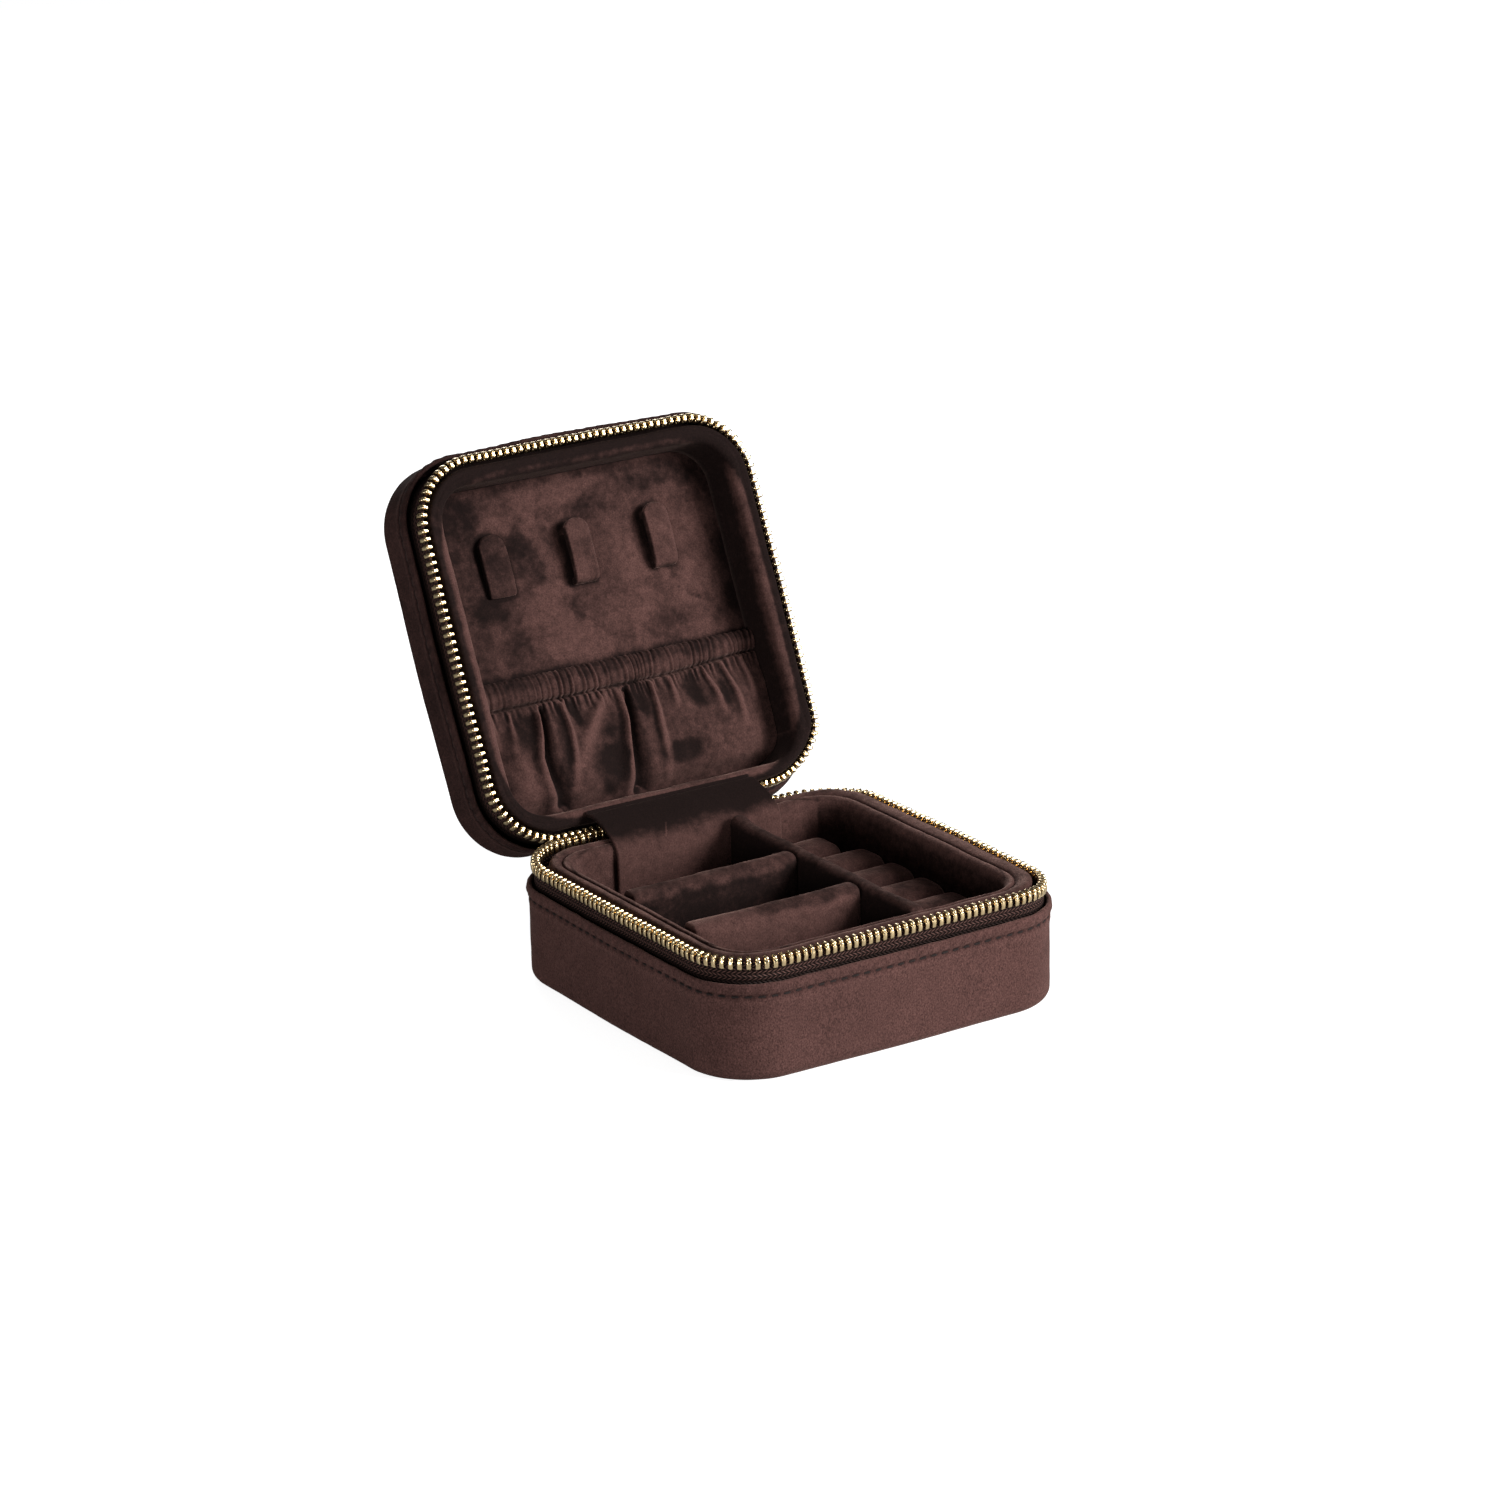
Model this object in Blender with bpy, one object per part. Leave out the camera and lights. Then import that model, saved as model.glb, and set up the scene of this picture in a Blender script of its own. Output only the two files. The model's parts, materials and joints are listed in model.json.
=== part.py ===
"""Square zip-round travel jewelry case, modelled open.

Frame: origin at the centre of the base's underside, +X to the right,
-Y to the front edge, +Y to the hinge, +Z up. Metres.
The lid is drawn in its closed place and carried by an empty on the hinge
axis, which turns it open. All sizes below are in millimetres and degrees.
"""
import math

import bmesh
import bpy
from mathutils import Matrix, Vector

MM = 0.001

# case
CASE_HALF = 50.0          # half of the square footprint
CASE_RADIUS = 17.4        # vertical corner radius
CLOSED_HEIGHT = 51.4
SKIN = 0.8                # velvet skin and its backing
GAP = 0.3                 # clearance between touching pieces
BASE_WALL_TOP = 24.4      # upper edge of the base's outer skin
LID_WALL_EDGE = 37.25     # lower edge of the lid's outer skin, closed
CORNER_STEPS = 8

# hinge
OPEN_DEG = 114.84         # how far the lid stands open
HINGE = (0.0, 48.83, 29.61)
FLAP_X = (-24.0, 24.0)
FLAP_THICK = 0.8
SPINE_X = (-15.0, 15.0)
SPINE_Y = (50.8, 51.4)

# zip
MATING_Z = 30.85          # plane where the two zip chains meet
ZIP_END_X = 16.0          # where tapes and the left chain ends stop at the back
CHAIN_WIDE, CHAIN_TALL = 2.0, 3.4
CHAIN_RIGHT_ANGLE = 82.0  # chains stop short of the end of the back right corner
TAPE = 0.8

# base interior
BASE_BOARD_Z = (SKIN + GAP, 2.6)
FLOOR_PAD_Z = BASE_BOARD_Z[1] + GAP
FLOOR_Z = 5.7             # top of the compartments' floor pad, plus its gap
BASE_RIM_TOP = 29.3
CAVITY_HALF = 39.5        # inside of the base's liner
CAVITY_FRONT_EXTRA = 0.8  # how much further the cavity reaches at the front
FITTED_HALF = CAVITY_HALF - GAP
FITTED_FRONT_Y = -CAVITY_HALF - CAVITY_FRONT_EXTRA + GAP
BASE_FLAP_Y = (FITTED_HALF - FLAP_THICK, FITTED_HALF)
MAIN_DIVIDER_X = (8.0, 12.6)
MAIN_DIVIDER_BACK_Y = 38.0
MAIN_DIVIDER_TOP = 29.8
CROSS_DIVIDER_TOP = 29.6
LIFT_AXIS_X = -15.7
RING_BED_TOP = 8.1
ROLL_RADIUS, ROLL_PITCH, ROLL_COUNT = 6.05, 12.8, 6
ROLL_Z = 14.5
ROLL_LEFT_X = MAIN_DIVIDER_X[1] + 0.5
ROLL_RIGHT_X = 39.1
END_ROLL_RIGHT_X = 34.9   # first and last rolls clear the rounded corners

# lid interior, in its closed place
LID_RIM_Z = 32.15
LID_CAVITY_HALF = 41.8
PANEL_Z = 45.35           # face of the padded panel
PANEL_BACK_Z = 48.6
LINING_Z = PANEL_Z - GAP  # pieces that lie on the panel end here
POCKET_HALF = 41.4
POCKET_FRONT_Y = 13.8

# snap tabs
TAB_HINGE_Y, TAB_HINGE_Z = -14.2, 44.2
TAB_FOOT_Z = 44.6         # where the folded end meets the panel side
SNAP_Y = -25.6
DIMPLE_TOP = 47.3
# label, x, width, strap low z, strap high z, socket thickness, stud top z
TABS = (
    ("left", -24.5, 8.0, 43.1, TAB_FOOT_Z, 0.9, DIMPLE_TOP - GAP),
    ("middle", -1.0, 7.0, 40.7, 42.3, 0.85, LINING_Z),
    ("right", 22.5, 7.0, 41.1, 42.7, 0.85, LINING_Z),
)

FINISHES = {
    "skin": dict(colour=(0.045, 0.020, 0.015), roughness=0.85, metallic=0.0),
    "liner": dict(colour=(0.060, 0.028, 0.022), roughness=0.85, metallic=0.0),
    "tape": dict(colour=(0.022, 0.010, 0.008), roughness=0.7, metallic=0.0),
    "gold": dict(colour=(0.80, 0.62, 0.30), roughness=0.25, metallic=1.0),
    "board": dict(colour=(0.35, 0.30, 0.24), roughness=0.9, metallic=0.0),
}


# ------------------------------------------------------ materials, objects
def make_material(name, colour, roughness, metallic):
    material = bpy.data.materials.new(name)
    material.use_nodes = True
    shader = material.node_tree.nodes["Principled BSDF"]
    shader.inputs["Base Color"].default_value = (*colour, 1.0)
    shader.inputs["Roughness"].default_value = roughness
    shader.inputs["Metallic"].default_value = metallic
    material.diffuse_color = (*colour, 1.0)
    return material


def place(name, bm, finish, parent=None, sharp_deg=30):
    """Turn a bmesh in millimetres into a named object with its own material.

    Its origin is the case's, or that of the axis empty which carries it."""
    origin = Vector(parent["at"]) if parent else Vector()
    bmesh.ops.recalc_face_normals(bm, faces=bm.faces)
    for vert in bm.verts:
        vert.co = (vert.co - origin) * MM
    mesh = bpy.data.meshes.new(name)
    bm.to_mesh(mesh)
    bm.free()
    mesh.materials.append(make_material(name + "_" + finish, **FINISHES[finish]))
    mesh.shade_smooth()
    mesh.set_sharp_from_angle(angle=math.radians(sharp_deg))
    obj = bpy.data.objects.new(name, mesh)
    bpy.context.scene.collection.objects.link(obj)
    obj.parent = parent
    return obj


def axis_empty(name, at, turn_deg=0.0, parent=None):
    """An empty on a joint axis along X; turn_deg opens it about -X.

    Its "at" property keeps its place in the closed case, in millimetres."""
    empty = bpy.data.objects.new(name, None)
    empty.empty_display_size = 5 * MM
    bpy.context.scene.collection.objects.link(empty)
    empty["at"] = at
    location = Vector(at)
    if parent is not None:
        empty.parent = parent
        location -= Vector(parent["at"])
    empty.location = location * MM
    empty.rotation_euler = (-math.radians(turn_deg), 0, 0)
    return empty


# ---------------------------------------------------------------- outlines
def about(centre, half):
    """The (low, high) range centred on a value."""
    return centre - half, centre + half


def arc(centre_x, centre_y, radius, start, sweep, steps):
    """Points along an arc, both ends included; angles in degrees."""
    points = []
    for i in range(steps + 1):
        angle = math.radians(start + sweep * i / steps)
        points.append((centre_x + radius * math.cos(angle),
                       centre_y + radius * math.sin(angle)))
    return points


def outline(x_range, y_range, radii, steps=CORNER_STEPS):
    """Points of a rounded rectangle, counter-clockwise from the front left.

    radii: front left, front right, back right, back left."""
    (x0, x1), (y0, y1) = x_range, y_range
    corners = ((x0, y0, 1, 1, 180), (x1, y0, -1, 1, 270),
               (x1, y1, -1, -1, 0), (x0, y1, 1, -1, 90))
    points = []
    for (x, y, inward_x, inward_y, start), radius in zip(corners, radii):
        points += arc(x + inward_x * radius, y + inward_y * radius,
                      radius, start, 90, steps)
    return points


def square(half, radius):
    return outline((-half, half), (-half, half), (radius,) * 4)


def case_outline(offset):
    """The case's footprint, grown by offset on every side."""
    return square(CASE_HALF + offset, CASE_RADIUS + offset)


def round_top(low, high, top, radius, steps=6):
    """Profile of a padded wall standing on the floor: square foot, rounded top."""
    centre_z = top - radius
    return ([(low, FLOOR_Z), (high, FLOOR_Z)]
            + arc(high - radius, centre_z, radius, 0, 90, steps)
            + arc(low + radius, centre_z, radius, 90, 90, steps))


def zip_path(half, radius, right_angle=90.0):
    """Centre line of a zip: from the back left end round the left side, the
    front and the right side to the back right. right_angle below 90 ends it
    part of the way round the last corner."""
    centre = half - radius
    points = [(-ZIP_END_X, half)]
    for x, y, start, sweep in ((-centre, centre, 90, 90), (-centre, -centre, 180, 90),
                               (centre, -centre, 270, 90), (centre, centre, 0, right_angle)):
        steps = max(2, round(CORNER_STEPS * sweep / 90))
        points += arc(x, y, radius, start, sweep, steps)
    if right_angle >= 90:
        points.append((ZIP_END_X, half))
    return points


# ------------------------------------------------------------------ solids
def loft(loops, closed=False):
    """Join outlines, each (points, z), into one closed body: a ring when
    closed, otherwise a stack capped at its first and last outline."""
    bm = bmesh.new()
    rings = [[bm.verts.new((x, y, z)) for x, y in points] for points, z in loops]
    ring_count = len(rings)
    for i in range(ring_count if closed else ring_count - 1):
        ring, following = rings[i], rings[(i + 1) % ring_count]
        for j in range(len(ring)):
            k = (j + 1) % len(ring)
            bm.faces.new((ring[j], ring[k], following[k], following[j]))
    if not closed:
        bm.faces.new(list(reversed(rings[0])))
        bm.faces.new(rings[-1])
    return bm


def slab(points, z_range):
    """A flat piece: one outline between two heights."""
    return loft([(points, z) for z in z_range])


def wall(outer, inner, z_range):
    """An upright wall all round, between two outlines."""
    low, high = z_range
    return loft([(outer, low), (outer, high), (inner, high), (inner, low)], closed=True)


def bar(profile, axis, low, high):
    """Extrude a closed profile along X or Y. For X it lies in YZ, for Y in XZ."""
    bm = bmesh.new()
    if axis == "X":
        verts = [bm.verts.new((low, y, z)) for y, z in profile]
        shift = Vector((high - low, 0, 0))
    else:
        verts = [bm.verts.new((x, low, z)) for x, z in profile]
        shift = Vector((0, high - low, 0))
    face = bm.faces.new(verts)
    grown = bmesh.ops.extrude_face_region(bm, geom=[face])["geom"]
    moved = [item for item in grown if isinstance(item, bmesh.types.BMVert)]
    bmesh.ops.translate(bm, vec=shift, verts=moved)
    return bm


def block(*ranges):
    """A box from its x, y and z ranges."""
    bm = bmesh.new()
    bmesh.ops.create_cube(bm, size=1.0)
    bmesh.ops.scale(bm, vec=[high - low for low, high in ranges], verts=bm.verts)
    bmesh.ops.translate(bm, vec=[(low + high) / 2 for low, high in ranges],
                        verts=bm.verts)
    return bm


def cylinder(radius, length, centre, segments=20, along_x=False):
    """A cylinder along Z, or along X."""
    bm = bmesh.new()
    bmesh.ops.create_cone(bm, cap_ends=True, segments=segments, radius1=radius,
                          radius2=radius, depth=length)
    if along_x:
        bmesh.ops.rotate(bm, matrix=Matrix.Rotation(math.radians(90), 3, "Y"),
                         verts=bm.verts)
    bmesh.ops.translate(bm, vec=centre, verts=bm.verts)
    return bm


def snap_disc(x, z_range, radius, segments=20):
    """An upright disc on the line of the snaps."""
    low, high = z_range
    return cylinder(radius, high - low, (x, SNAP_Y, (low + high) / 2), segments)


def strip(points, z_range):
    """An upright ribbon along a path, for Solidify to thicken."""
    bm = bmesh.new()
    foot, head = ([bm.verts.new((x, y, z)) for x, y in points] for z in z_range)
    for i in range(len(points) - 1):
        bm.faces.new((foot[i], foot[i + 1], head[i + 1], head[i]))
    return bm


# --------------------------------------------------------------- modifiers
def soften(obj, width):
    """Round the edges of a piece."""
    bevel = obj.modifiers.new("rounded_edges", "BEVEL")
    bevel.width = width * MM
    bevel.segments = 2
    bevel.limit_method = "ANGLE"
    bevel.angle_limit = math.radians(40)


def thicken(obj, thickness):
    solidify = obj.modifiers.new("thickness", "SOLIDIFY")
    solidify.thickness = thickness * MM
    solidify.offset = 0.0
    solidify.use_even_offset = True


def combine(obj, helper, operation):
    """Boolean a helper into an object and keep the helper hidden."""
    helper.hide_render = True
    helper.display_type = "WIRE"
    boolean = obj.modifiers.new(operation.lower(), "BOOLEAN")
    boolean.operation = operation
    boolean.solver = "EXACT"
    boolean.object = helper


# ------------------------------------------------- parts both halves share
def outer_cover(name, face_z, inward, straight_z, flare_z, edge_z, parent=None):
    """A skin, from its closed face up the outside, over the edge and back
    down the inside. inward is the Z direction from the face to the edge."""
    edge_round_z = edge_z - inward * 0.3
    flare, edge_flare = 0.2, 0.5
    # offset from the case's footprint, z
    stations = (
        (-2.0, face_z), (-1.0, face_z + inward * 0.27),
        (-0.27, face_z + inward * 1.0), (0.0, face_z + inward * 2.0),
        (0.0, straight_z), (flare, flare_z), (edge_flare, edge_round_z),
        (0.3, edge_z), (-0.1, edge_z),
        (edge_flare - SKIN, edge_round_z), (flare - SKIN, flare_z),
        (-SKIN, straight_z), (-SKIN, face_z + inward * 2.0),
        (-1.2, face_z + inward * 1.15), (-2.0, face_z + inward * SKIN),
    )
    place(name, loft([(case_outline(offset), z) for offset, z in stations]),
          "skin", parent)


def zip_half(side, half, radius, tape_z, chain_z, parent=None):
    """One tape and its chain, as ribbons round the case."""
    tape = strip(zip_path(half, radius), tape_z)
    thicken(place(side + "_zip_tape", tape, "tape", parent), TAPE)
    chain = strip(zip_path(half, radius, CHAIN_RIGHT_ANGLE), chain_z)
    thicken(place(side + "_zip_chain", chain, "gold", parent), CHAIN_WIDE)


# -------------------------------------------------------------------- base
def base_shell():
    """Outer cover, its stiffening boards and the floor pad."""
    outer_cover("base_outer_cover", face_z=0.0, inward=1, straight_z=17.0,
                flare_z=21.0, edge_z=BASE_WALL_TOP)
    place("base_bottom_board", slab(case_outline(-2.6), BASE_BOARD_Z), "board")
    place("base_wall_board", wall(square(47.65, 15.3), square(46.05, 13.45),
                                  (FLOOR_PAD_Z, BASE_WALL_TOP - 0.8)), "board")
    place("base_floor_pad", loft([
        (case_outline(-4.3), FLOOR_PAD_Z), (case_outline(-4.3), 5.0),
        (case_outline(-4.6), FLOOR_Z - GAP)]), "liner")


def base_liner_frame():
    """Padded rim and cavity wall, from the outer foot over to the inner foot."""
    # half width, corner radius, extra reach at the front, z
    stations = (
        (45.0, 12.6, 0.0, FLOOR_Z),
        (45.0, 12.6, 0.0, 28.3),
        (44.8, 12.4, 0.0, 28.9),
        (44.2, 11.9, 0.0, BASE_RIM_TOP),
        (41.6, 10.3, 0.5, BASE_RIM_TOP),
        (40.6, 9.6, 0.6, 29.0),
        (39.9, 9.2, 0.7, 28.3),
        (CAVITY_HALF, 9.0, CAVITY_FRONT_EXTRA, 27.2),
        (CAVITY_HALF, 9.0, CAVITY_FRONT_EXTRA, FLOOR_Z),
    )
    loops = [(outline((-half, half), (-half - extra, half), (radius,) * 4), z)
             for half, radius, extra, z in stations]
    place("base_liner_frame", loft(loops, closed=True), "liner")


def main_divider():
    """Padded wall from front to back, left of the ring rolls."""
    profile = round_top(*MAIN_DIVIDER_X, MAIN_DIVIDER_TOP, 2.1)
    place("main_divider", bar(profile, "Y", FITTED_FRONT_Y, MAIN_DIVIDER_BACK_Y), "liner")


def cross_divider(side, front_y, back_y):
    """Padded wall from the left side to the main divider, on its own axis."""
    lift_axis = axis_empty(side + "_divider_lift_axis",
                           (LIFT_AXIS_X, (front_y + back_y) / 2, FLOOR_Z))
    profile = round_top(front_y, back_y, CROSS_DIVIDER_TOP, 2.8)
    place(side + "_cross_divider",
          bar(profile, "X", -FITTED_HALF, MAIN_DIVIDER_X[0] - GAP), "liner", lift_axis)


def ring_compartment():
    """Bed along the right side and the row of ring rolls on it."""
    bed = outline((MAIN_DIVIDER_X[1] + GAP, FITTED_HALF),
                  (FITTED_FRONT_Y, BASE_FLAP_Y[0] - GAP), (0.5, 8.8, 8.8, 0.5))
    place("ring_bed", slab(bed, (FLOOR_Z, RING_BED_TOP)), "board")
    for i in range(ROLL_COUNT):
        y = (i - (ROLL_COUNT - 1) / 2) * ROLL_PITCH
        right_x = END_ROLL_RIGHT_X if i in (0, ROLL_COUNT - 1) else ROLL_RIGHT_X
        roll = cylinder(ROLL_RADIUS, right_x - ROLL_LEFT_X,
                        ((right_x + ROLL_LEFT_X) / 2, y, ROLL_Z), along_x=True)
        soften(place("ring_roll_%d" % (i + 1), roll, "liner", sharp_deg=50), 1.0)


def base_hinge_strips():
    """Flap inside the back wall and spine strip outside it."""
    place("flap_base", block(FLAP_X, BASE_FLAP_Y, (FLOOR_Z + GAP, 28.9)), "liner")
    place("spine_base", block(SPINE_X, SPINE_Y, (14.0, 26.0)), "skin")


def build_base():
    base_shell()
    base_liner_frame()
    chain_top = MATING_Z - GAP / 2
    zip_half("base", half=48.35, radius=15.9, tape_z=(17.5, 27.0),
             chain_z=(chain_top - CHAIN_TALL, chain_top))
    main_divider()
    cross_divider("rear", 6.0, 12.4)
    cross_divider("front", -21.0, -14.2)
    ring_compartment()
    base_hinge_strips()


# --------------------------------------------------------- zip ends, slider
SLIDER_X = (15.8, 23.8)
SLIDER_Y = (46.7, 49.7)
SLIDER_Z = (28.2, 33.15)
SLIDER_MID_X = sum(SLIDER_X) / 2
SLIDER_MID_Z = 30.75
PLATE = 0.75              # thickness of the slider's two plates
PULL_AXIS = (SLIDER_MID_X, 50.55, SLIDER_MID_Z)
PULL_REST_OUT = 11.0      # how far the tab hangs away from straight down


def zip_stops(half_axis):
    inner_x, width = 12.8, 2.4
    for side, x0 in (("left", -inner_x - width), ("right", inner_x)):
        stop = block((x0, x0 + width), (46.9, 49.5), (28.4, 33.1))
        soften(place("zip_stop_" + side, stop, "gold", half_axis), 0.4)


def zip_slider(half_axis):
    """Outer plate, joined to the inner plate, the wedge and the bail."""
    (left_x, right_x), (inner_y, outer_y) = SLIDER_X, SLIDER_Y
    slider = place("zip_slider", block(SLIDER_X, (outer_y - PLATE, outer_y), SLIDER_Z),
                   "gold", half_axis)
    soften(slider, 0.3)
    bail_x = about(SLIDER_MID_X, 0.6)
    bail_y = (outer_y - 0.3, outer_y + 2.4)
    # label, x range, y range, z range
    parts = (
        ("inner_plate", SLIDER_X, (inner_y, inner_y + PLATE), SLIDER_Z),
        ("wedge", (right_x - 2.2, right_x - 0.6), (inner_y + 0.2, outer_y - 0.2),
         about(SLIDER_MID_Z, 0.7)),
        ("bail_low", bail_x, bail_y, (SLIDER_MID_Z - 2.0, SLIDER_MID_Z - 1.3)),
        ("bail_high", bail_x, bail_y, (SLIDER_MID_Z + 1.3, SLIDER_MID_Z + 2.0)),
        ("bail_bar", about(SLIDER_MID_X, 0.55), (outer_y + 1.7, outer_y + 2.35),
         about(SLIDER_MID_Z, 1.95)),
    )
    for label, *ranges in parts:
        helper = place("helper_" + label, block(*ranges), "gold", half_axis)
        combine(slider, helper, "UNION")


def zip_pull(half_axis):
    """Flat tab hanging from the slider's bail, with an eye cut through it."""
    pull_axis = axis_empty("pull_swing_axis", PULL_AXIS,
                           -(OPEN_DEG / 2) - PULL_REST_OUT, half_axis)
    section = outline(about(SLIDER_MID_X, 2.5), about(PULL_AXIS[1], 0.4),
                      (0.2,) * 4, steps=2)
    pull = place("zip_pull", slab(section, (SLIDER_MID_Z - 21.0, SLIDER_MID_Z + 0.4)),
                 "gold", pull_axis)
    eye = block(about(SLIDER_MID_X, 1.3), (49.0, 52.0),
                (SLIDER_MID_Z - 3.2, SLIDER_MID_Z - 0.4))
    combine(pull, place("helper_pull_eye", eye, "gold", pull_axis), "DIFFERENCE")


# --------------------------------------------------------------------- lid
def lid_shell(lid_axis):
    """Outer cover and its stiffening boards."""
    outer_cover("lid_outer_cover", face_z=CLOSED_HEIGHT, inward=-1, straight_z=43.5,
                flare_z=40.3, edge_z=LID_WALL_EDGE, parent=lid_axis)
    board_z = (PANEL_BACK_Z + GAP, CLOSED_HEIGHT - SKIN - GAP)
    place("lid_top_board", slab(case_outline(-2.6), board_z), "board", lid_axis)
    place("lid_wall_board", wall(square(47.2, 15.8), square(45.8, 14.4),
                                 (38.3, PANEL_BACK_Z)), "board", lid_axis)


def lid_liner_frame(lid_axis):
    """Padded rim and cavity wall, down the outside and back up the inside."""
    # half width, corner radius, z
    stations = (
        (45.45, 14.4, LINING_Z), (45.45, 14.4, 37.6),
        (46.0, 14.6, 36.6), (46.0, 14.6, 33.1),
        (45.75, 14.3, 32.45), (45.1, 13.6, LID_RIM_Z),
        (43.6, 11.2, LID_RIM_Z), (42.8, 10.4, 32.45),
        (42.1, 9.9, 33.2), (LID_CAVITY_HALF, 9.6, 34.3),
        (LID_CAVITY_HALF, 9.6, LINING_Z),
    )
    loops = [(square(half, radius), z) for half, radius, z in stations]
    place("lid_liner_frame", loft(loops, closed=True), "liner", lid_axis)


def lid_panel(lid_axis):
    """Padded panel with a dimple for the left tab's snap."""
    panel = place("lid_panel_pad", slab(square(45.3, 14.3), (PANEL_Z, PANEL_BACK_Z)),
                  "liner", lid_axis)
    dimple = snap_disc(TABS[0][1], (44.0, DIMPLE_TOP), radius=3.1, segments=24)
    combine(panel, place("helper_snap_dimple", dimple, "liner", lid_axis), "DIFFERENCE")


def lid_pocket(lid_axis):
    """Puffed pocket towards the hinge, with a hem along its front."""
    # half width, front y, back y, back corner radius, z
    stations = (
        (POCKET_HALF, POCKET_FRONT_Y, POCKET_HALF, 9.6, LINING_Z),
        (POCKET_HALF, POCKET_FRONT_Y, POCKET_HALF, 9.6, 41.8),
        (40.0, 15.2, 39.6, 8.5, 40.4),
        (37.0, 18.0, 36.6, 6.0, 39.6),
    )
    front_radius = 1.5
    loops = [(outline((-half, half), (front_y, back_y),
                      (front_radius, front_radius, radius, radius)), z)
             for half, front_y, back_y, radius, z in stations]
    place("pocket_panel", loft(loops), "liner", lid_axis)
    hem = block((-POCKET_HALF, POCKET_HALF), (6.6, POCKET_FRONT_Y - GAP),
                (41.3, LINING_Z))
    soften(place("pocket_hem", hem, "liner", lid_axis), 1.2)


def lid_hinge_strips(lid_axis):
    """Flap below the back of the rim and spine strip outside the back wall."""
    flap_top = LID_RIM_Z - GAP
    place("flap_lid", block(FLAP_X, (41.9, 44.0), (flap_top - FLAP_THICK, flap_top)),
          "liner", lid_axis)
    place("spine_lid", block(SPINE_X, SPINE_Y, (35.5, 47.5)), "skin", lid_axis)


def snap_tab(lid_axis, label, x, width, low, high, socket_thick, stud_top):
    """A strap with a round front end, its back end folded to the panel, and
    the two halves of its snap."""
    tab_axis = axis_empty("tab_%s_axis" % label, (x, TAB_HINGE_Y, TAB_HINGE_Z),
                          parent=lid_axis)
    profile = [(-30.0, low), (-14.6, low), (-13.9, low + 0.3), (-13.5, low + 1.0),
               (-13.4, TAB_FOOT_Z), (-15.0, TAB_FOOT_Z)]
    if high < TAB_FOOT_Z:  # a strap as high as its foot has no step here
        profile.append((-15.0, high))
    profile.append((-30.0, high))
    tab = place("tab_" + label, bar(profile, "X", x - width / 2, x + width / 2),
                "liner", tab_axis)

    front_radius = width / 2 - 0.2
    shape = outline(about(x, width / 2 + 0.01), (-29.9, -10.0),
                    (front_radius, front_radius, 1.0, 1.0), steps=6)
    helper = place("helper_tab_outline_" + label, slab(shape, (38.0, 47.0)),
                   "liner", tab_axis)
    combine(tab, helper, "INTERSECT")

    socket_z = (high + GAP, high + GAP + socket_thick)
    place("snap_socket_" + label, snap_disc(x, socket_z, radius=2.5), "gold", tab_axis)
    stud_z = (socket_z[1] + GAP, stud_top)
    place("snap_stud_" + label, snap_disc(x, stud_z, radius=2.3), "gold", lid_axis)


def build_lid(lid_axis):
    lid_shell(lid_axis)
    lid_liner_frame(lid_axis)
    lid_panel(lid_axis)
    chain_foot = MATING_Z + GAP / 2
    zip_half("lid", half=47.95, radius=16.6, tape_z=(34.75, 44.0),
             chain_z=(chain_foot, chain_foot + CHAIN_TALL), parent=lid_axis)
    lid_pocket(lid_axis)
    lid_hinge_strips(lid_axis)
    for tab in TABS:
        snap_tab(lid_axis, *tab)


# -------------------------------------------------------------------- case
def build_case():
    lid_axis = axis_empty("lid_hinge_axis", HINGE, OPEN_DEG)
    # the zip ends turn half as far as the lid
    half_axis = axis_empty("zip_end_axis", HINGE, OPEN_DEG / 2)
    build_base()
    zip_stops(half_axis)
    zip_slider(half_axis)
    zip_pull(half_axis)
    build_lid(lid_axis)


for old in list(bpy.data.objects):
    bpy.data.objects.remove(old, do_unlink=True)
build_case()
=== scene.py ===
# A square velvet jewellery case with rounded corners, unzipped, its lid turned back.
# It stands on z = 0, centred on x = y = 0: the front is -Y, the hinge runs along X
# at the back (+Y), and the zip's slider is at the back, to the right (+X).
# Lengths are millimetres unless a comment says metres. Lid pieces are shaped in
# their closed place and turned open about the hinge.
import json
import math
from collections import namedtuple
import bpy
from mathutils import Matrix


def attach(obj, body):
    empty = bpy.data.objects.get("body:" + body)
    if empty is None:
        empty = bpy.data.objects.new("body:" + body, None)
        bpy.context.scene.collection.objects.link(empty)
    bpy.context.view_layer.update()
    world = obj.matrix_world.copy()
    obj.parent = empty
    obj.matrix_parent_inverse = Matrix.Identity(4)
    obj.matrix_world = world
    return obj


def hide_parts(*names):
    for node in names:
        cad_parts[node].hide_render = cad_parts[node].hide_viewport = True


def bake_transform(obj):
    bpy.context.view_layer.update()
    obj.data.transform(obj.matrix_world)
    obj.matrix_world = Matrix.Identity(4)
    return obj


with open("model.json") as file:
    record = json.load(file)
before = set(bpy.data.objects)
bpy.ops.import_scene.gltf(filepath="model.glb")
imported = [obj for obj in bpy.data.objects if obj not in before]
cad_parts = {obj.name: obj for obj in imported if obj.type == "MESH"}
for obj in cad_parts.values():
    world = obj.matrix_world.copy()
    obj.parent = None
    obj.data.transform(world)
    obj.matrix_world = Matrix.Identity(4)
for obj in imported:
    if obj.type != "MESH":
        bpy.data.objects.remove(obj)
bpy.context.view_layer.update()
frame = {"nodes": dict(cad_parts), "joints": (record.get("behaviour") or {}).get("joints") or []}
from types import SimpleNamespace

import bmesh
import bpy
import numpy as np
from mathutils import Matrix, Vector

scene = bpy.context.scene

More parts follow.
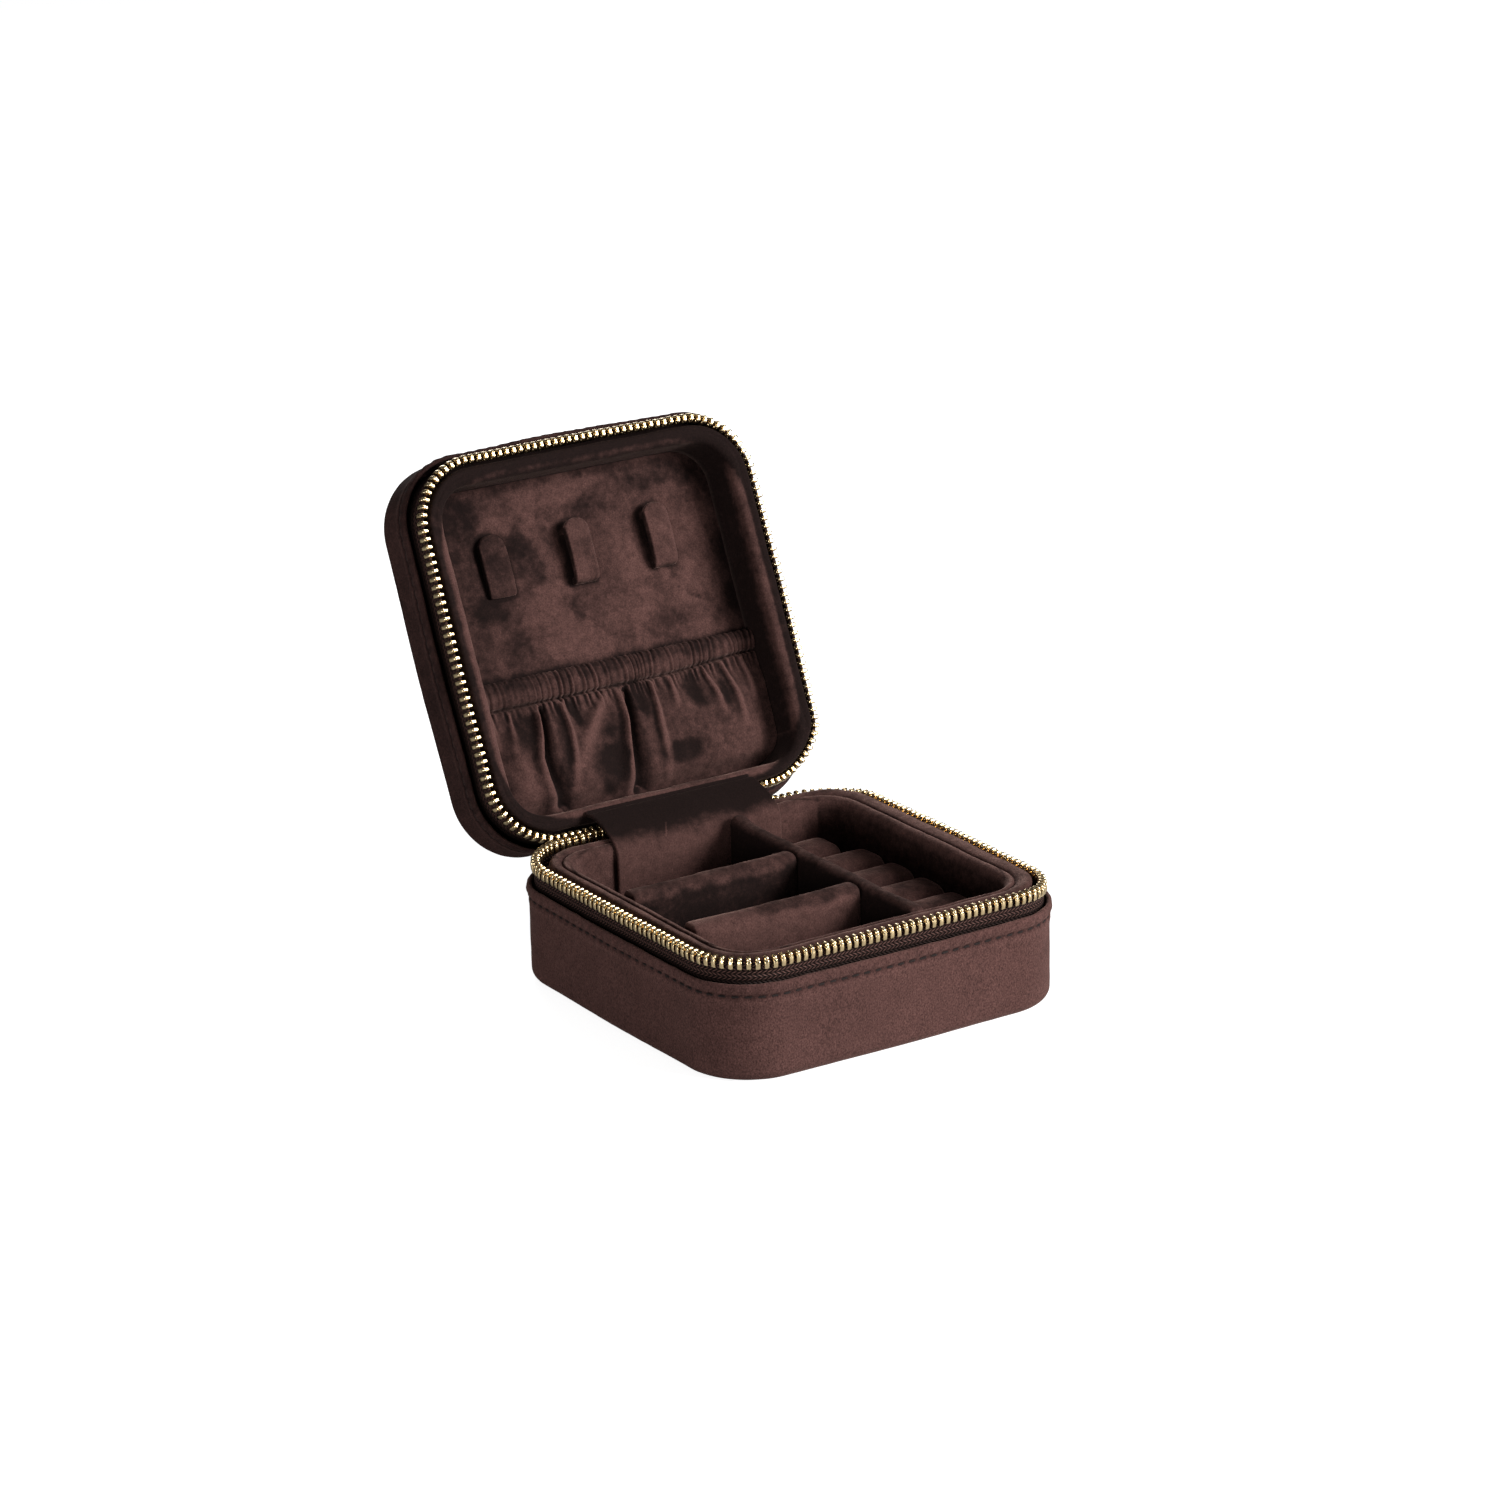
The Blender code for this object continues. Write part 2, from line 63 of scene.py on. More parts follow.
# --- Frame and main sizes ---
JOINTS = {joint["name"]: joint for joint in frame["joints"]}
HINGE_Y, HINGE_Z = [c * 1000 for c in JOINTS["lid_hinge"]["pos_m"][1:]]
OPEN = -JOINTS["lid_hinge"]["range_deg"][0]      # degrees
MM = 0.001                                       # one millimetre in metres


def turned(pts, deg):
    """Points turned open about the hinge by deg (about -X)."""
    angle = math.radians(deg)
    pts = np.array(pts, float)
    y, z = pts[..., 1] - HINGE_Y, pts[..., 2] - HINGE_Z
    out = pts.copy()
    out[..., 1] = y * math.cos(angle) + z * math.sin(angle) + HINGE_Y
    out[..., 2] = -y * math.sin(angle) + z * math.cos(angle) + HINGE_Z
    return out


def lid_point(y, z):
    """Opened place (y, z) of a point given in the closed lid."""
    return tuple(turned([0, y, z], OPEN)[1:])


def node_box(node, deg=0.0):
    """Low and high corners of a CAD node, turned back by deg first."""
    pts = np.array([v.co for v in frame["nodes"][node].data.vertices], float) * 1000
    pts = turned(pts, -deg)
    return pts.min(0), pts.max(0)


LABELS = ("left", "middle", "right")
WALL_TOP = node_box("base_outer_cover")[1][2]
LID_EDGE = node_box("lid_outer_cover", OPEN)[0][2]
LID_TOP = node_box("lid_outer_cover", OPEN)[1][2]
PANEL_Z = node_box("lid_panel_pad", OPEN)[0][2]
HEM_TOP = node_box("pocket_hem", OPEN)[0][1]
SLIDER_LOW, SLIDER_HIGH = node_box("zip_slider", OPEN / 2)
TABS = {label: node_box("tab_" + label, OPEN) for label in LABELS}
STUDS = {label: node_box("snap_stud_" + label, OPEN) for label in LABELS}
SKIN_HALF, SKIN_R, SKIN_BOW = 50.0, 17.4, 0.45

# How far each body is turned from the place its pieces are shaped in.
BODY_TURN = {"base": 0.0, "lid": OPEN, "zip_ends": OPEN / 2, "slider": OPEN / 2,
             "pull": OPEN / 2, "rear_divider": 0.0, "front_divider": 0.0,
             "tab_left_body": OPEN, "tab_middle_body": OPEN, "tab_right_body": OPEN}


# --- Numeric tools ---
def noise(pts, scale, seed=0):
    """Smooth lattice noise in -1..1 at points."""
    cell = np.asarray(pts, float) / scale + 100.0 + seed * 17.31
    low = np.floor(cell).astype(np.int64)
    part = cell - low
    part = part * part * part * (part * (part * 6 - 15) + 10)
    total = np.zeros(len(cell))
    for corner in np.ndindex(2, 2, 2):
        key = low + corner
        value = (key[:, 0] * 73856093) ^ (key[:, 1] * 19349663) ^ \
            (key[:, 2] * 83492791) ^ (seed * 2654435761)
        value = (value ^ (value >> 13)) * 1274126177 & 0x7FFFFFFF
        value = (value ^ (value >> 16)) & 0xFFFF
        near = np.where(corner, part, 1 - part)
        total += near[:, 0] * near[:, 1] * near[:, 2] * (value / 32767.5 - 1.0)
    return total


def fbm(pts, scale, seed=0, octaves=3):
    """Noise summed over octaves, each half the size and strength of the last."""
    return sum(0.5 ** k * noise(pts, scale / 2 ** k, seed + k * 7) for k in range(octaves))


def ramp(start, end, x):
    """Smooth step from 0 at start to 1 at end."""
    t = np.clip((np.asarray(x, float) - start) / (end - start), 0, 1)
    return t * t * (3 - 2 * t)


def bell(x, centre, width):
    return np.exp(-((np.asarray(x, float) - centre) / width) ** 2)


def round_off(t):
    """Height of a unit quarter circle that rises from 0 at t = 0 to 1 at t = 1."""
    return np.sqrt(np.clip(1 - (1 - np.clip(t, 0, 1)) ** 2, 0, 1))


def signed_power(value, power):
    return math.copysign(abs(value) ** power, value)


def outward(pts, knee=30.0):
    """Rounded-square distance from the middle, and the outward direction (x, y)."""
    over = np.sign(pts[:, :2]) * np.maximum(np.abs(pts[:, :2]) - knee, 0)
    far = np.hypot(over[:, 0], over[:, 1])
    return knee + far, over / (far + 1e-9)[:, None]


def right_side(pts):
    return ramp(0.15, 0.95, outward(pts)[1][:, 0])


def back_right(pts):
    """Stretch between the back right corner and the slider, where the two
    opened chains sag away from each other."""
    return ramp(0.15, 0.95, outward(pts)[1][:, 1]) * ramp(23.5, 29.0, pts[:, 0])


def path_distance(pts, path):
    """Distance of 2D points from a path, and the side of it they lie on."""
    best = np.full(len(pts), 1e9)
    side = np.zeros(len(pts))
    for start, end in zip(path[:-1], path[1:]):
        from_start = pts - np.array(start, float)
        run = np.array(end, float) - np.array(start, float)
        t = np.clip(from_start @ run / (run @ run), 0, 1)
        dist = np.linalg.norm(from_start - t[:, None] * run, axis=1)
        cross = np.sign(run[0] * from_start[:, 1] - run[1] * from_start[:, 0])
        side = np.where(dist < best, cross, side)
        best = np.where(dist < best, dist, best)
    return best, side


def spots(pts, table):
    """Soft ragged spots added up in the XY plane.
    Columns: x, y, half width, half height, amount, turn (degrees)."""
    total = np.zeros(len(pts))
    rag = 0.35 * fbm(np.column_stack([pts[:, :2], np.zeros(len(pts))]), 4.0, 317, 2)
    for x, y, wide, high, amount, turn in table:
        cos, sin = math.cos(math.radians(turn)), math.sin(math.radians(turn))
        from_x, from_y = pts[:, 0] - x, pts[:, 1] - y
        across = (from_x * cos + from_y * sin) / wide
        along = (-from_x * sin + from_y * cos) / high
        dist = np.sqrt(across * across + along * along)
        total += amount * (1 - ramp(0.45, 1.25, dist + rag))
    return total


# --- Lines ---
Line = namedtuple("Line", "centre along out arc")


def loop(half, radius, bow=0.0, n_side=44, n_corner=18, half_y=None, centre_y=0.0):
    """Closed rounded square, counter-clockwise from the back left corner, its
    sides bowed out. Returns points and arc length."""
    half_y = half if half_y is None else half_y
    radius = max(min(radius, half - 1e-3, half_y - 1e-3), 1e-3)
    x, y = half - radius, half_y - radius
    corners = ((-x, y, 90), (-x, -y, 180), (x, -y, 270), (x, y, 0))

    def arc_point(mid_x, mid_y, deg, size=radius):
        angle = math.radians(deg)
        return np.array((mid_x + size * math.cos(angle), mid_y + size * math.sin(angle)))

    pts = []
    for k, (mid_x, mid_y, start) in enumerate(corners):
        pts += [arc_point(mid_x, mid_y, start + 90 * i / n_corner) for i in range(n_corner + 1)]
        first, last = pts[-1], arc_point(*corners[(k + 1) % 4])
        out = arc_point(0, 0, start + 90, 1)
        for i in range(1, n_side):
            t = i / n_side
            lift = bow * (0.5 - 0.5 * math.cos(2 * math.pi * t))
            pts.append(first + (last - first) * t + out * lift)
    pts = np.array(pts)
    pts[:, 1] += centre_y
    steps = np.linalg.norm(np.diff(pts, axis=0), axis=1)
    return pts, np.concatenate([[0], np.cumsum(steps)])


def zip_line(half, radius, left_x, right_x, bow, step=0.25):
    """Open line round the case from left_x at the back, by the front, to right_x
    at the back, evenly spaced."""
    ring = loop(half, radius, bow, 200, 80)[0]
    at_start = (ring[:, 1] > half - 0.6 - 1e-9) & (ring[:, 0] <= left_x)
    ring = np.roll(ring, -np.argmax(np.where(at_start, ring[:, 0], -np.inf)), 0)
    pts, length = [np.array((left_x, ring[0][1]))], [0.0]
    for point in ring:
        gap = np.linalg.norm(point - pts[-1])
        if gap < 1e-6:
            continue
        if len(pts) > 50 and point[1] > half - 0.7 and left_x < point[0] < right_x:
            length.append(length[-1] + abs(pts[-1][0] - right_x))
            pts.append(np.array((right_x, point[1])))
            break
        pts.append(point)
        length.append(length[-1] + gap)
    pts, length = np.array(pts), np.array(length)
    arc = np.linspace(0, length[-1], int(round(length[-1] / step)) + 1)
    centre = np.stack([np.interp(arc, length, pts[:, k]) for k in (0, 1)], 1)
    along = np.gradient(centre, axis=0)
    along /= np.linalg.norm(along, axis=1)[:, None] + 1e-12
    return Line(centre, along, np.stack([along[:, 1], -along[:, 0]], 1), arc)


def at_arc(place, arc, columns):
    """The columns' values at one place along an arc."""
    return np.array([np.interp(place, arc, column) for column in columns.T])


def smooth_line(points, count, passes):
    """A YZ line resampled to count points and smoothed: points, arc, normals."""
    points = np.array(points, float)
    steps = np.linalg.norm(np.diff(points, axis=0), axis=1)
    length = np.concatenate([[0], np.cumsum(steps)])
    arc = np.linspace(0, length[-1], count)
    line = np.stack([np.interp(arc, length, points[:, k]) for k in (0, 1)], 1)
    for _ in range(passes):
        line[1:-1] = (line[:-2] + 2 * line[1:-1] + line[2:]) / 4
    run = np.gradient(line, axis=0)
    run /= np.linalg.norm(run, axis=1)[:, None]
    return line, arc, np.stack([-run[:, 1], run[:, 0]], 1)


# --- Mesh tools ---
def grid_faces(rows, cols, ring=True, closed=False, first=0):
    """Quads of a grid; ring joins the last column to the first, closed the rows."""
    row, col = np.meshgrid(np.arange(rows if closed else rows - 1),
                           np.arange(cols if ring else cols - 1), indexing="ij")
    row2, col2 = (row + 1) % rows, (col + 1) % cols
    quads = np.stack([row * cols + col, row * cols + col2,
                      row2 * cols + col2, row2 * cols + col], -1)
    return (quads.reshape(-1, 4) + first).tolist()


def end_faces(rows, cols):
    return [list(range(cols))[::-1], [(rows - 1) * cols + k for k in range(cols)]]


def tube_faces(rows, cols):
    return grid_faces(rows, cols) + end_faces(rows, cols)


def slab_faces(rows, cols):
    """Two grids, front then back, closed all round their edges."""
    back = rows * cols
    faces = grid_faces(rows, cols, False)
    faces += [face[::-1] for face in grid_faces(rows, cols, False, first=back)]
    for a in range(cols - 1):
        b = (rows - 1) * cols + a
        faces.append([a + 1, a, back + a, back + a + 1])
        faces.append([b, b + 1, back + b + 1, back + b])
    for k in range(rows - 1):
        a, b = k * cols, k * cols + cols - 1
        faces.append([a, a + cols, back + a + cols, back + a])
        faces.append([b + cols, b, back + b, back + b + cols])
    return faces


def grid_normals(verts, ring=True, closed=False):
    """Vertex normals of a grid of points (rows, columns, 3)."""
    def slope(axis, wraps):
        if wraps:
            return np.roll(verts, -1, axis) - np.roll(verts, 1, axis)
        return np.gradient(verts, axis=axis)

    normals = np.cross(slope(1, ring), slope(0, closed))
    return normals / (np.linalg.norm(normals, axis=2)[..., None] + 1e-12)


def swell(verts, normals, core, amount):
    """Move verts away from their core points by amount."""
    side = np.sign(np.sum(normals * (verts - core), 1))
    return verts + normals * (side * amount)[:, None]


def join_parts(parts):
    verts, faces, first = [], [], 0
    for part_verts, part_faces in parts:
        verts.append(np.asarray(part_verts, float))
        faces += [[i + first for i in face] for face in part_faces]
        first += len(part_verts)
    return np.vstack(verts), faces


def take_bmesh(bm):
    """Points and faces of a bmesh, which is then freed."""
    bm.verts.index_update()
    verts = np.array([v.co for v in bm.verts])
    faces = [[v.index for v in face.verts] for face in bm.faces]
    bm.free()
    return verts, faces


def thicken(bm, flat_faces, shift, min_angle, offset, segments):
    """Extrude flat faces by shift and bevel edges sharper than min_angle."""
    made = bmesh.ops.extrude_face_region(bm, geom=flat_faces)["geom"]
    bmesh.ops.translate(bm, vec=shift, verts=[v for v in made if isinstance(v, bmesh.types.BMVert)])
    bmesh.ops.recalc_face_normals(bm, faces=bm.faces)
    sharp = [e for e in bm.edges
             if len(e.link_faces) == 2 and e.calc_face_angle(0) > min_angle]
    bmesh.ops.bevel(bm, geom=sharp, offset=offset, segments=segments, affect="EDGES",
                    profile=0.5)
    return take_bmesh(bm)


def rounded_block(low, high, radius, segments):
    low, high = np.array(low), np.array(high)
    bm = bmesh.new()
    bmesh.ops.create_cube(bm, size=1.0)
    bmesh.ops.scale(bm, vec=tuple(high - low), verts=bm.verts)
    bmesh.ops.translate(bm, vec=tuple((low + high) / 2), verts=bm.verts)
    bmesh.ops.bevel(bm, geom=list(bm.edges), offset=radius, segments=segments,
                    affect="EDGES", profile=0.5)
    return take_bmesh(bm)


def mesh_points(mesh, attribute=None):
    """Vertex places (metres), or the values of a vector attribute."""
    values = np.zeros(len(mesh.vertices) * 3, np.float32)
    if attribute is None:
        mesh.vertices.foreach_get("co", values)
    else:
        mesh.attributes[attribute].data.foreach_get("vector", values)
    return values.reshape(-1, 3).astype(float)


def set_points(mesh, pts):
    mesh.vertices.foreach_set("co", pts.astype(np.float32).ravel())


def set_attribute(mesh, name, values):
    values = np.asarray(values, np.float32)
    kind, key = ("FLOAT_VECTOR", "vector") if values.ndim == 2 else ("FLOAT", "value")
    attribute = mesh.attributes.get(name) or mesh.attributes.new(name, kind, "POINT")
    attribute.data.foreach_set(key, values.ravel())


def reshape_mesh(mesh, pts, body, nap):
    """Give a finished mesh new unturned points, with their finish attributes, painted light and
    shade included.
    """
    set_attribute(mesh, "lc", pts)
    set_attribute(mesh, "nap", nap(pts))
    set_points(mesh, turned(pts, BODY_TURN[body]) * MM)
    mesh.update()


def build(name, verts, faces, mat, body, replaces=(), smooth=None, extra=None,
          placed=False, nap=None, finish_pts=None):
    """A mesh piece from unturned points, carried by body. Attribute lc holds the
    points the finishes use, and nap how light or dark the pile lies, with painted
    light and shade added. A placed piece is already turned. smooth is the
    sharp-edge angle in degrees."""
    verts = np.asarray(verts, float).reshape(-1, 3)
    finish_pts = verts if finish_pts is None else finish_pts
    world = verts if placed else turned(verts, BODY_TURN[body])
    mesh = bpy.data.meshes.new(name)
    mesh.from_pydata((world * MM).tolist(), [], faces)
    set_attribute(mesh, "lc", finish_pts)
    for key, values in (extra or {}).items():
        set_attribute(mesh, key, values)
    if nap is not None:
        set_attribute(mesh, "nap", nap(finish_pts))
    bm = bmesh.new()
    bm.from_mesh(mesh)
    bmesh.ops.recalc_face_normals(bm, faces=bm.faces)
    bm.to_mesh(mesh)
    bm.free()
    mesh.shade_smooth()
    if smooth is not None:
        mesh.set_sharp_from_angle(angle=math.radians(smooth))
    mesh.materials.append(mat)
    ob = bpy.data.objects.new(name, mesh)
    scene.collection.objects.link(ob)
    if body is not None:
        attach(ob, body)
    if replaces:
        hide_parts(*replaces)
    return ob


def sweep(name, rows, mat, body, bow=0.0, closed=False, disp=None, n_side=44,
          n_corner=18, warp=None, **build_args):
    """Loft of rounded squares. Rows: half, radius, z[, half_y, centre_y].
    disp(points, arc, row) pushes along the normals; warp moves the points."""
    rings, arcs = [], []
    for half, radius, z, *stretch in rows:
        half_y, centre_y = stretch or (None, 0.0)
        ring, arc = loop(half, radius, bow, n_side, n_corner, half_y, centre_y)
        rings.append(np.column_stack([ring, np.full(len(ring), z)]))
        arcs.append(arc)
    verts = np.array(rings)
    n_rows, n_cols = verts.shape[:2]
    arc = np.broadcast_to(max(arcs, key=lambda a: a[-1]), (n_rows, n_cols)).ravel()
    if disp is not None:
        push = disp(verts.reshape(-1, 3), arc, np.repeat(np.arange(n_rows), n_cols))
        verts = verts + grid_normals(verts, True, closed) * push.reshape(n_rows, n_cols, 1)
    flat = verts.reshape(-1, 3)
    arc_z = np.column_stack([arc, flat[:, 2], np.zeros(len(flat))])
    if warp is not None:
        flat = warp(flat)
    faces = grid_faces(n_rows, n_cols, True, closed)
    if not closed:
        for row in (0, n_rows - 1):
            middle = len(flat)
            centre = verts[row].mean(0)
            flat = np.vstack([flat, centre])
            arc_z = np.vstack([arc_z, (0, centre[2], 0)])
            for k in range(n_cols):
                a, b = row * n_cols + k, row * n_cols + (k + 1) % n_cols
                faces.append([a, middle, b] if row == 0 else [a, b, middle])
    return build(name, flat, faces, mat, body, extra={"sz": arc_z}, **build_args)


# --- Materials ---
class Shader:
    """A new material and short calls to build its nodes."""

    def __init__(self, name):
        self.mat = bpy.data.materials.new(name)
        self.mat.use_nodes = True
        self.tree = self.mat.node_tree
        self.bsdf = self.tree.nodes["Principled BSDF"]
        self.relief = None

    def put(self, socket, value):
        """Link an output to a socket, or set the socket's value."""
        if isinstance(value, bpy.types.NodeSocket):
            self.tree.links.new(value, socket)
        else:
            socket.default_value = (*value, 1.0) if socket.type == "RGBA" else value

    def node(self, kind, inputs, **props):
        made = self.tree.nodes.new(kind)
        for key, value in props.items():
            setattr(made, key, value)
        for key, value in inputs.items():
            self.put(made.inputs[key], value)
        return made

    def surface(self, inputs):
        for key, value in inputs.items():
            self.put(self.bsdf.inputs[key], value)

    def math(self, operation, *values):
        return self.node("ShaderNodeMath", dict(enumerate(values)),
                         operation=operation).outputs[0]

    def attribute(self, name, output):
        return self.node("ShaderNodeAttribute", {}, attribute_name=name).outputs[output]

    def object_points(self):
        return self.node("ShaderNodeTexCoord", {}).outputs["Object"]

    def xyz(self, vector):
        return self.node("ShaderNodeSeparateXYZ", {0: vector}).outputs

    def mapped(self, vector, scale, location=(0, 0, 0)):
        if not isinstance(scale, tuple):
            scale = (scale, scale, scale)
        inputs = {"Scale": scale, "Location": location, "Vector": vector}
        return self.node("ShaderNodeMapping", inputs).outputs[0]

    def noise(self, vector, scale=None, detail=2.0, rough=0.5, size=1.0, output="Fac"):
        """Noise texture, its vector scaled by a mapping node if scale is given."""
        if scale is not None:
            vector = self.mapped(vector, scale)
        inputs = {"Scale": size, "Detail": detail, "Roughness": rough, "Vector": vector}
        return self.node("ShaderNodeTexNoise", inputs).outputs[output]

    def remap(self, value, source, to, smooth=True):
        """Map the source range (min, max) onto the range to."""
        inputs = {"Value": value, "From Min": source[0], "From Max": source[1],
                  "To Min": to[0], "To Max": to[1]}
        kind = "SMOOTHSTEP" if smooth else "LINEAR"
        return self.node("ShaderNodeMapRange", inputs, interpolation_type=kind).outputs[0]

    def mix(self, factor, first, second, blend="MIX"):
        made = self.node("ShaderNodeMix", {}, data_type="RGBA", blend_type=blend)
        made.clamp_factor = True
        for index, value in ((0, factor), (6, first), (7, second)):
            self.put(made.inputs[index], value)
        return made.outputs[2]

    def shade(self, colour, channels):
        """Colour multiplied by three channel values."""
        grey = self.node("ShaderNodeCombineColor", dict(enumerate(channels)))
        return self.mix(1.0, colour, grey.outputs[0], "MULTIPLY")

    def bump(self, height, distance, strength):
        """Relief on top of those added before it; distance in metres."""
        inputs = {"Strength": strength, "Distance": distance, "Height": height}
        if self.relief is not None:
            inputs["Normal"] = self.relief
        self.relief = self.node("ShaderNodeBump", inputs).outputs[0]
        self.surface({"Normal": self.relief})


def tinted(colour, *factors):
    """Colour times one factor, or times a factor for each channel."""
    factors = factors * 3 if len(factors) == 1 else factors
    return tuple(c * f for c, f in zip(colour, factors))


def velvet(name, colour, patch, nap, sheen, streak=(1, 1, 1), grain=(2.6, 2.6, 2.6),
           seed=0.0, grain_amount=0.42, rag=0.14, soft=0.08):
    """Short-pile velvet. The pile lies light or dark in soft-edged patches: the nap
    attribute, which also carries painted light and shade, sets how it lies and noise adds to it.
    patch: patch size, stretched by streak; nap: patch contrast; rag: patch edge
    noise; grain: frequency of the pile; grain_amount, soft: fine and mid contrast."""
    light, dark = 1.45, 0.16         # brightness of raised and flattened pile, also the ends of the painted light and shade
    sheen_tint = (0.75, 0.47, 0.40)
    m = Shader(name)
    points = m.attribute("lc", "Vector")
    big = m.mapped(points, tuple(side / patch for side in streak),
                   location=(seed, seed * 1.7, 0))
    warp = m.noise(big, size=1.3, output="Color")
    shifted = m.node("ShaderNodeVectorMath", {0: warp, 1: (0.9, 0.9, 0.9), 2: big},
                     operation="MULTIPLY_ADD")
    patches = m.noise(shifted.outputs[0], detail=4.0, rough=0.60)
    fine = m.noise(points, grain, detail=3.0, rough=0.7)
    mid = m.noise(points, 0.55, detail=3.0, rough=0.6)
    lie_and_shade = m.remap(patches, source=(0.40, 0.60), to=(0.5 - nap / 2, 0.5 + nap / 2))
    ragged = m.remap(mid, source=(0.3, 0.7), to=(-rag, rag), smooth=False)
    lie_and_shade = m.math("ADD", m.math("ADD", lie_and_shade, m.attribute("nap", "Fac")), ragged)
    lie_and_shade = m.remap(lie_and_shade, source=(-0.32, 1.02), to=(0.0, 1.0))
    # pile colour between the dark and light ends, painted light and shade included
    pile = m.mix(lie_and_shade, tinted(colour, dark), tinted(colour, light))
    fine_grey = m.remap(fine, source=(0.30, 0.70), to=(1 - grain_amount, 1 + grain_amount),
                        smooth=False)
    mid_grey = m.remap(mid, source=(0.3, 0.7), to=(1 - soft, 1 + soft), smooth=False)
    grey = m.math("MULTIPLY", fine_grey, mid_grey)
    m.surface({"Base Color": m.shade(pile, [grey] * 3),
               "Roughness": 0.92,
               "Specular IOR Level": 0.10,
               "Sheen Weight": m.remap(lie_and_shade, source=(0, 1), to=(sheen * 0.10, sheen)),
               "Sheen Roughness": 0.38,
               "Sheen Tint": sheen_tint})
    m.bump(patches, distance=0.0010, strength=0.15)
    m.bump(mid, distance=0.0005, strength=0.22)
    m.bump(fine, distance=0.00022, strength=0.6)
    return m.mat


def tape_finish(name, colour):
    """Woven zip tape: rows of herringbone ribs along the tape, with painted light on the rib tops
    and painted shade between them.
    """
    row_width, rib_width = 0.85, 0.58
    rib_slant = 1.5
    m = Shader(name)
    arc_z = m.attribute("sz", "Vector")
    arc, z, _ = m.xyz(arc_z)
    zigzag = m.math("PINGPONG", z, row_width)
    slanted = m.math("ADD", arc, m.math("MULTIPLY", zigzag, rib_slant))
    rib = m.math("PINGPONG", slanted, rib_width)
    rib = m.math("DIVIDE", rib, rib_width)
    row = m.math("DIVIDE", zigzag, row_width)
    # 1 in the middle of a row, 0 at both of its edges
    off_middle = m.math("SUBTRACT", m.math("MULTIPLY", row, 2.0), 1.0)
    row = m.math("SUBTRACT", 1.0, m.math("ABSOLUTE", off_middle))
    row = m.math("MULTIPLY", row, 1.0)
    rib_share = m.math("ADD", m.math("MULTIPLY", row, 0.6), 0.4)
    height = m.math("MULTIPLY", rib, rib_share)
    fuzz = m.noise(arc_z, 7, detail=2.0, rough=0.6)
    fuzzy = m.math("ADD", height, m.math("MULTIPLY", fuzz, 0.35))
    # painted light on the rib tops, painted shade between them
    weave_light_and_shade = m.mix(m.remap(fuzzy, source=(0.36, 1.10), to=(0, 1)),
                  tinted(colour, 0.06), tinted(colour, 2.9))
    # it sinks into shade where it goes down behind the edge of the wall
    deep = m.math("MINIMUM", m.math("SUBTRACT", z, WALL_TOP), m.math("SUBTRACT", LID_EDGE, z))
    shades = [m.remap(deep, source=(-0.1, 1.3), to=(0.16, 1.0)) for _ in range(3)]
    m.surface({"Base Color": m.shade(weave_light_and_shade, shades),
               "Roughness": 0.62,
               "Specular IOR Level": 0.16,
               "Specular Tint": (0.8, 0.6, 0.55)})
    m.bump(height, distance=0.00045, strength=0.9)
    m.bump(fuzz, distance=0.0001, strength=0.4)
    return m.mat


def gold_finish(name):
    """Polished plated metal with faint tumbling marks, a painted highlight on its sharp edges and
    painted shade in its hollows.
    """
    colour, rough = (0.79, 0.60, 0.31), 0.19
    m = Shader(name)
    points = m.attribute("lc", "Vector")
    blotch = m.noise(points, 2.2, detail=3.0, rough=0.6)
    marks = m.noise(points, (9, 9, 2.5), detail=2.0, rough=0.6)
    pointiness = m.node("ShaderNodeNewGeometry", {}).outputs["Pointiness"]
    # painted highlight on sharp edges, painted shade in hollows
    edge = m.remap(pointiness, source=(0.47, 0.60), to=(0.0, 1.0))
    dark = tinted(colour, 0.62, 0.52, 0.38)
    pale = tuple(min(1.0, c) for c in tinted(colour, 1.08, 1.14, 1.35))
    metal = m.mix(edge, dark, pale)
    metal = m.mix(m.remap(blotch, source=(0.3, 0.7), to=(0.0, 0.35)), metal, colour)
    m.surface({"Base Color": metal,
               "Metallic": 1.0,
               "Roughness": m.remap(marks, source=(0.3, 0.7), to=(rough * 0.7, rough * 1.5))})
    m.bump(marks, distance=0.00004, strength=0.25)
    return m.mat


def thread_finish(name, colour):
    """Twisted sewing thread."""
    strand = 0.22                    # half the twist's pitch
    z_slant = 1.6
    m = Shader(name)
    points = m.attribute("lc", "Vector")
    x, y, z = m.xyz(points)
    slanted = m.math("ADD", m.math("ADD", x, y), m.math("MULTIPLY", z, z_slant))
    twist = m.math("DIVIDE", m.math("PINGPONG", slanted, strand), strand)
    fuzz = m.noise(points, 6, detail=2.0, rough=0.6)
    m.surface({"Base Color": m.mix(twist, tinted(colour, 0.4), tinted(colour, 1.3)),
               "Roughness": 0.7,
               "Specular IOR Level": 0.25})
    m.bump(twist, distance=0.0001, strength=0.6)
    m.bump(fuzz, distance=0.00005, strength=0.4)
    return m.mat


def board_finish(name):
    """Grey pulp board, never in sight when the case is whole."""
    dark, light = (0.05, 0.035, 0.03), (0.12, 0.09, 0.075)
    m = Shader(name)
    points = m.object_points()
    fine = m.noise(points, 900, detail=3.0, rough=0.6)
    coarse = m.noise(points, 120, detail=3.0, rough=0.6)
    m.surface({"Base Color": m.mix(m.math("MULTIPLY", fine, coarse), dark, light),
               "Roughness": 0.9})
    m.bump(fine, distance=0.00006, strength=0.5)
    return m.mat


